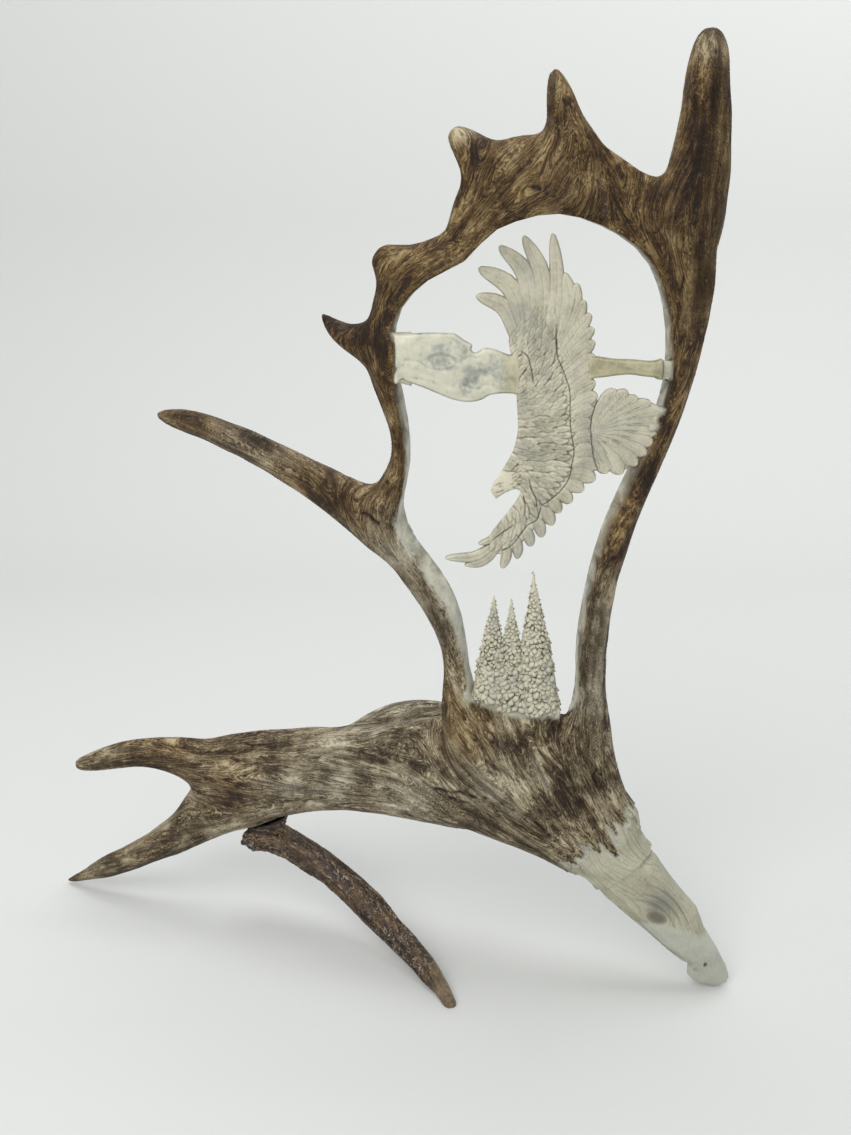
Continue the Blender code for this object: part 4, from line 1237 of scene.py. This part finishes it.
for cloud_name, cloud_outline, olive in (("cloud_left", LEFT_CLOUD, 0.0),
                                         ("cloud_right", RIGHT_CLOUD, 0.85)):
    cloud = cloud_relief(cloud_outline)
    cloud.tint[:] = np.maximum(olive, 0.6 * smoothstep(80, 88, cloud.x) * (cloud.x < 95))
    cloud_mesh = relief_mesh(cloud_name + "_band", cloud, CLOUD_DEPTH, CLOUD_EDGE,
                             cloud.height, cloud.height)
    cloud_mesh.materials.append(cloud_ivory.material)
    cloud_band = in_scene(cloud_name + "_band", cloud_mesh)
    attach(cloud_band, "root")
    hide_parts(cloud_name)


# ---------------------------------------------------------------------------------------------
# Three slender conifers standing on the sill of the opening: flattened cones with scaly boughs,
# which shingle downwards and grow larger towards the ground.
TREE_DEPTH = -53.0              # millimetres, as all sizes of the trees
# Top and foot of each stem, then its half widths at the foot and at the middle.
TREES = [((80.5, 271.0), (79.5, 204.0), 12.5, 7.4), ((91.2, 268.8), (93.5, 199.0), 12.0, 6.8),
         ((104.6, 286.2), (109.5, 196.0), 14.0, 9.4)]
TREE_THICKNESS = 0.62
CORE_SHARE = 0.86               # of a tree's width; the boughs stand out over the rest
BOUGH_PITCH = 3.1


def cone_mesh(top, foot, foot_width, middle_width):
    """A flattened cone; its vertices carry the local bough size."""
    rings = 26
    sides = 22
    cone_bm = bmesh.new()
    size_layer = cone_bm.verts.layers.float.new("bough_size")
    rows = []
    for ring in range(rings + 1):
        share = ring / rings
        x = foot[0] + (top[0] - foot[0]) * share
        z = foot[1] + (top[1] - foot[1]) * share
        width = CORE_SHARE * np.interp(share, [0, 0.5, 0.9, 1.0], [foot_width, middle_width, 1.6, 0.5])
        row = []
        for side in range(sides):
            angle = 2 * math.pi * side / sides
            vert = cone_bm.verts.new(Vector((x + width * math.cos(angle), TREE_DEPTH
                                             + TREE_THICKNESS * width * math.sin(angle), z)) * MM)
            vert[size_layer] = np.interp(share, [0, 0.45, 0.85, 1.0], [1.5, 1.05, 0.62, 0.4])
            row.append(vert)
        rows.append(row)
    for low, high in zip(rows, rows[1:]):
        for side in range(sides):
            after = (side + 1) % sides
            cone_bm.faces.new((low[side], low[after], high[after], high[side]))
    cone_bm.faces.new(rows[-1])
    cone_bm.faces.new(rows[0][::-1])
    mesh = bpy.data.meshes.new("conifer_cone")
    cone_bm.to_mesh(mesh)
    cone_bm.free()
    return mesh


def bough_mesh():
    """One scaly bough: a rounded scale, thick at its lower lip."""
    bough_bm = bmesh.new()
    rows = []
    for height, half_width, bulge in ((0.66, 0.26, 0.06), (0.30, 0.50, 0.22), (-0.25, 0.60, 0.50),
                                      (-0.62, 0.30, 0.62)):
        row = []
        for side in range(7):
            angle = math.pi * side / 6
            place = (half_width * math.cos(angle), -bulge * math.sin(angle) + 0.12, height)
            row.append(bough_bm.verts.new(place))
        rows.append(row)
    for high, low in zip(rows, rows[1:]):
        for side in range(6):
            bough_bm.faces.new((high[side], high[side + 1], low[side + 1], low[side]))
        bough_bm.faces.new((high[6], high[0], low[0], low[6]))
    bough_bm.faces.new(rows[0][::-1])
    bough_bm.faces.new(rows[-1])
    bmesh.ops.recalc_face_normals(bough_bm, faces=bough_bm.faces)
    mesh = bpy.data.meshes.new("bough")
    bough_bm.to_mesh(mesh)
    bough_bm.free()
    mesh.shade_smooth()
    return mesh


def bough_tree(bough_object, material, seed):
    """Node group that covers a cone with boughs and keeps the cone itself."""
    group = bpy.data.node_groups.new("boughs_on_cone", "GeometryNodeTree")
    group.interface.new_socket("Cone", in_out="INPUT", socket_type="NodeSocketGeometry")
    pitch = group.interface.new_socket("Bough pitch", in_out="INPUT", socket_type="NodeSocketFloat")
    group.interface.new_socket("Tree", in_out="OUTPUT", socket_type="NodeSocketGeometry")

    def node(kind, values=None, feeds=None, **settings):
        """A new node with its settings, its fixed input values and the outputs that feed it."""
        made = group.nodes.new(kind)
        for key, value in settings.items():
            setattr(made, key, value)
        for key, value in (values or {}).items():
            made.inputs[key].default_value = value
        for key, output in (feeds or {}).items():
            group.links.new(output, made.inputs[key])
        return made

    entry = node("NodeGroupInput")
    bough_pitch = entry.outputs["Bough pitch"]
    apart = node("ShaderNodeMath", {1: 0.60}, {0: bough_pitch}, operation="MULTIPLY")
    spread = node("GeometryNodeDistributePointsOnFaces", {"Density Max": 9e5, "Seed": seed},
                  {"Mesh": entry.outputs["Cone"]}, distribute_method="POISSON")
    group.links.new(apart.outputs[0], spread.inputs["Distance Min"])
    size = node("GeometryNodeInputNamedAttribute", {"Name": "bough_size"}, data_type="FLOAT")
    change = node("FunctionNodeRandomValue", {2: 0.75, 3: 1.3, "Seed": seed + 1}, data_type="FLOAT")
    scale = node("ShaderNodeMath", {}, {0: size.outputs["Attribute"], 1: change.outputs[1]},
                 operation="MULTIPLY")
    pitched = node("ShaderNodeMath", {}, {0: scale.outputs[0], 1: bough_pitch}, operation="MULTIPLY")
    outward = node("ShaderNodeVectorMath", {"Scale": -1.0}, {0: spread.outputs["Normal"]}, operation="SCALE")
    turn = node("FunctionNodeAlignEulerToVector", {"Factor": 1.0}, {"Vector": outward.outputs[0]},
                axis="Y", pivot_axis="Z")
    wobble = node("FunctionNodeRandomValue", data_type="FLOAT_VECTOR")
    wobble.inputs[0].default_value = (-0.45, -0.9, -0.5)
    wobble.inputs[1].default_value = (0.15, 0.9, 0.5)
    wobble.inputs["Seed"].default_value = seed + 2
    tilt = node("FunctionNodeRotateEuler", {}, {"Rotation": turn.outputs[0], "Rotate By": wobble.outputs[0]},
                rotation_type="EULER", space="LOCAL")
    shape = node("GeometryNodeObjectInfo", {"Object": bough_object})
    place = node("GeometryNodeInstanceOnPoints", {},
                 {"Points": spread.outputs["Points"], "Instance": shape.outputs["Geometry"],
                  "Rotation": tilt.outputs[0], "Scale": pitched.outputs[0]})
    real = node("GeometryNodeRealizeInstances", {}, {0: place.outputs[0]})
    join = node("GeometryNodeJoinGeometry", {}, {0: real.outputs[0]})
    group.links.new(entry.outputs["Cone"], join.inputs[0])
    paint = node("GeometryNodeSetMaterial", {"Material": material}, {0: join.outputs[0]})
    node("NodeGroupOutput", {}, {0: paint.outputs[0]})
    return group, pitch.identifier


tree_ivory = Nodes("tree_ivory")
tree_place = tree_ivory.place()
tree_broad = tree_ivory.grains(tree_place, 120.0, 3.0, 0.6)
tree_fine = tree_ivory.grains(tree_place, 700.0, 3.0, 0.65)
# Painted shade: ambient occlusion darkens the colour in the creases between the boughs.
crease_painted_shade = tree_ivory.add("ShaderNodeAmbientOcclusion", {"samples": 6, "only_local": True}, Distance=0.0022)
tree_tone = tree_ivory.sum((tree_broad, 0.5), (tree_fine, 0.4), (crease_painted_shade.outputs["AO"], 0.70), (0.5, -0.94))
tree_colour = tree_ivory.ramp(tree_tone, [(0.14, (0.050, 0.045, 0.025)), (0.30, (0.19, 0.175, 0.12)),
                                          (0.45, (0.42, 0.40, 0.30)), (0.70, (0.62, 0.59, 0.46))])
tree_marrow = tree_ivory.grains(tree_place, 60.0, 3.0, 0.6)
tree_patch = tree_ivory.ramp(tree_marrow, [(0.52, (0, 0, 0)), (0.66, (1, 1, 1))])
tree_colour = tree_ivory.mix(tree_ivory.sum((tree_patch, 0.4)), tree_colour, (0.24, 0.25, 0.24))
tree_ivory.feed(tree_ivory.shader.inputs["Base Color"], tree_colour)
tree_ivory.shader.inputs["Roughness"].default_value = 0.6
tree_ivory.bump(tree_fine, 0.0005, 0.6)

bough = in_scene("bough", bough_mesh())
for tree_number, (tree_top, tree_foot, foot_width, middle_width) in enumerate(TREES):
    cone = cone_mesh(tree_top, tree_foot, foot_width, middle_width)
    conifer = in_scene(f"conifer_{tree_number + 1}", cone)
    covering = conifer.modifiers.new("boughs", "NODES")
    tree_group, pitch_socket = bough_tree(bough, tree_ivory.material, 5 + tree_number)
    covering.node_group = tree_group
    covering[pitch_socket] = BOUGH_PITCH * MM
    grown = with_modifiers(conifer)
    conifer.modifiers.clear()
    conifer.data = grown
    grown.shade_smooth()
    grown.materials.clear()
    grown.materials.append(tree_ivory.material)
    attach(conifer, "root")
    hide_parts("conifers")
bpy.data.objects.remove(bough)


# ---------------------------------------------------------------------------------------------
# The deer antler leg: a slim dark beam glued under the brow palm by its flank, with a knobby
# burr at one end, pale worn ridges along its length and a smooth tan tip on the ground.
LEG_VOXEL = 0.7 * MM
LEG_SWELL = 0.2 * MM
LEG_GRAIN_STEP = 1.6 * MM
LEG_GROWTH = [("deer_antler_leg", (-1.0, 0.0, -0.25), 0.0), ("deer_antler_leg", (0.4, 0.0, -1.0), 0.20)]
leg_skin = voxel_skin(joined_copy(["deer_antler_leg"], LEG_SWELL), LEG_VOXEL)
leg_edges = links(leg_skin)
leg_co = relaxed(places(leg_skin), leg_edges, 40)
put_places(leg_skin, leg_co)
leg_normal = normals(leg_skin)
leg_low, leg_high = (np.array(corner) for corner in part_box("deer_antler_leg"))
leg_x = (leg_co[:, 0] - leg_low[0]) / (leg_high[0] - leg_low[0])
coarse_co, coarse_length, coarse_direction = growth_field(["deer_antler_leg"], LEG_GROWTH, 2.5 * MM)
leg_length, leg_grain = carried_over(leg_co, coarse_co, [coarse_length, coarse_direction])
leg_length = averaged(leg_length, leg_edges, 10)
leg_grain = averaged(leg_grain, leg_edges, 8)
leg_grain = combed(leg_grain, leg_normal)
leg_dice = np.random.default_rng(11)
leg_onward, leg_back = grain_walk(leg_co, leg_grain, LEG_GRAIN_STEP)
ridge_lines = streaks(leg_dice, leg_edges, leg_onward, leg_back, 2, 2)
leg_broad = streaks(leg_dice, leg_edges, leg_onward, leg_back, 12, 3)
leg_pearls = np.array([0.5 - noise.voronoi(Vector(place) * 330.0)[0][0] for place in leg_co])
burr_knobs = np.array([0.55 - noise.voronoi(Vector(place) * 150.0)[0][0] for place in leg_co])
near_burr = 1 - smoothstep(0.055, 0.13, leg_x)
towards_burr = 1 - smoothstep(0.08, 0.55, leg_x)
to_tip = smoothstep(0.86, 0.97, leg_x)
leg_relief = ((0.28 * ridge_lines + 0.22 * leg_broad) * (1 - to_tip) * (1 - 0.5 * near_burr)
              + (0.35 + 0.5 * towards_burr) * leg_pearls * (1 - to_tip) + 2.6 * burr_knobs * near_burr)
put_places(leg_skin, leg_co + leg_normal * (leg_relief * MM)[:, None])
store(leg_skin, "ridge", np.clip(0.5 + 0.22 * ridge_lines + 0.35 * leg_pearls + 0.12 * leg_broad, 0, 1)
      * (1 - 0.45 * near_burr))
store(leg_skin, "tip", to_tip)
for name in ("cross_one", "cross_two"):
    store(leg_skin, name, streaks(leg_dice, leg_edges, leg_onward, leg_back, 12, 4, 2))
store(leg_skin, "grown_length", leg_length)
brow_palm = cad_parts["brow_palm"].data
# The leg's colour is darkened near the brow palm, where it meets it.
palm_surface_tree = BVHTree.FromPolygons([vert.co.copy() for vert in brow_palm.vertices],
                                 [tuple(face.vertices) for face in brow_palm.polygons])
palm_gap = np.array([palm_surface_tree.find_nearest(place)[3] / MM for place in leg_co])
store(leg_skin, "near_palm_dark", 1 - smoothstep(1.5, 5.0, palm_gap + 1.4 * leg_broad))
leg_skin.shade_smooth()

leg_bone = Nodes("deer_antler")
leg_place = leg_bone.place()
leg_fine = leg_bone.grains(leg_place, 900.0, 4.0, 0.65)
leg_cloud = leg_bone.grains(leg_place, 85.0, 3.0, 0.6)
leg_threads = leg_bone.grains(leg_bone.along_growth(90.0), 1.1, 1.5, 0.6)
leg_lines = leg_bone.ramp(leg_threads, [(0.455, (0, 0, 0)), (0.485, (1, 1, 1)), (0.505, (1, 1, 1)),
                                        (0.535, (0, 0, 0))])
leg_tone = leg_bone.sum((leg_bone.attribute("ridge"), 0.45), (leg_fine, 0.45), (leg_cloud, 0.45),
                        (leg_threads, 0.7), (0.5, -1.02))
leg_colour = leg_bone.ramp(leg_tone, [(0.24, (0.006, 0.002, 0.001)), (0.40, (0.022, 0.008, 0.003)),
                                      (0.54, (0.060, 0.027, 0.009)), (0.68, (0.13, 0.074, 0.030)),
                                      (0.85, (0.30, 0.22, 0.12))])
leg_colour = leg_bone.mix(leg_bone.sum((leg_lines, 0.85)), leg_colour,
                          leg_bone.ramp(leg_fine, [(0.35, (0.16, 0.10, 0.05)), (0.60, (0.60, 0.50, 0.36))]))
leg_tan = leg_bone.ramp(leg_cloud, [(0.35, (0.16, 0.105, 0.055)), (0.65, (0.34, 0.26, 0.16))])
leg_colour = leg_bone.mix(leg_bone.sum((leg_bone.attribute("tip"), 0.85)), leg_colour, leg_tan)
# Darker near the join with the brow palm.
leg_colour = leg_bone.mix(leg_bone.attribute("near_palm_dark"), leg_colour, (0.012, 0.009, 0.007))
leg_bone.feed(leg_bone.shader.inputs["Base Color"], leg_colour)
leg_bone.feed(leg_bone.shader.inputs["Roughness"], leg_bone.sum((leg_tone, 0.3), (0.34, 1.0)))
leg_bone.bump(leg_bone.sum((leg_fine, 0.5), (leg_lines, 0.8)), 0.0008, 0.8)

antler_leg = in_scene("deer_antler_leg_bone", leg_skin)
leg_skin.materials.clear()
leg_skin.materials.append(leg_bone.material)
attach(antler_leg, "root")
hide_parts("deer_antler_leg")
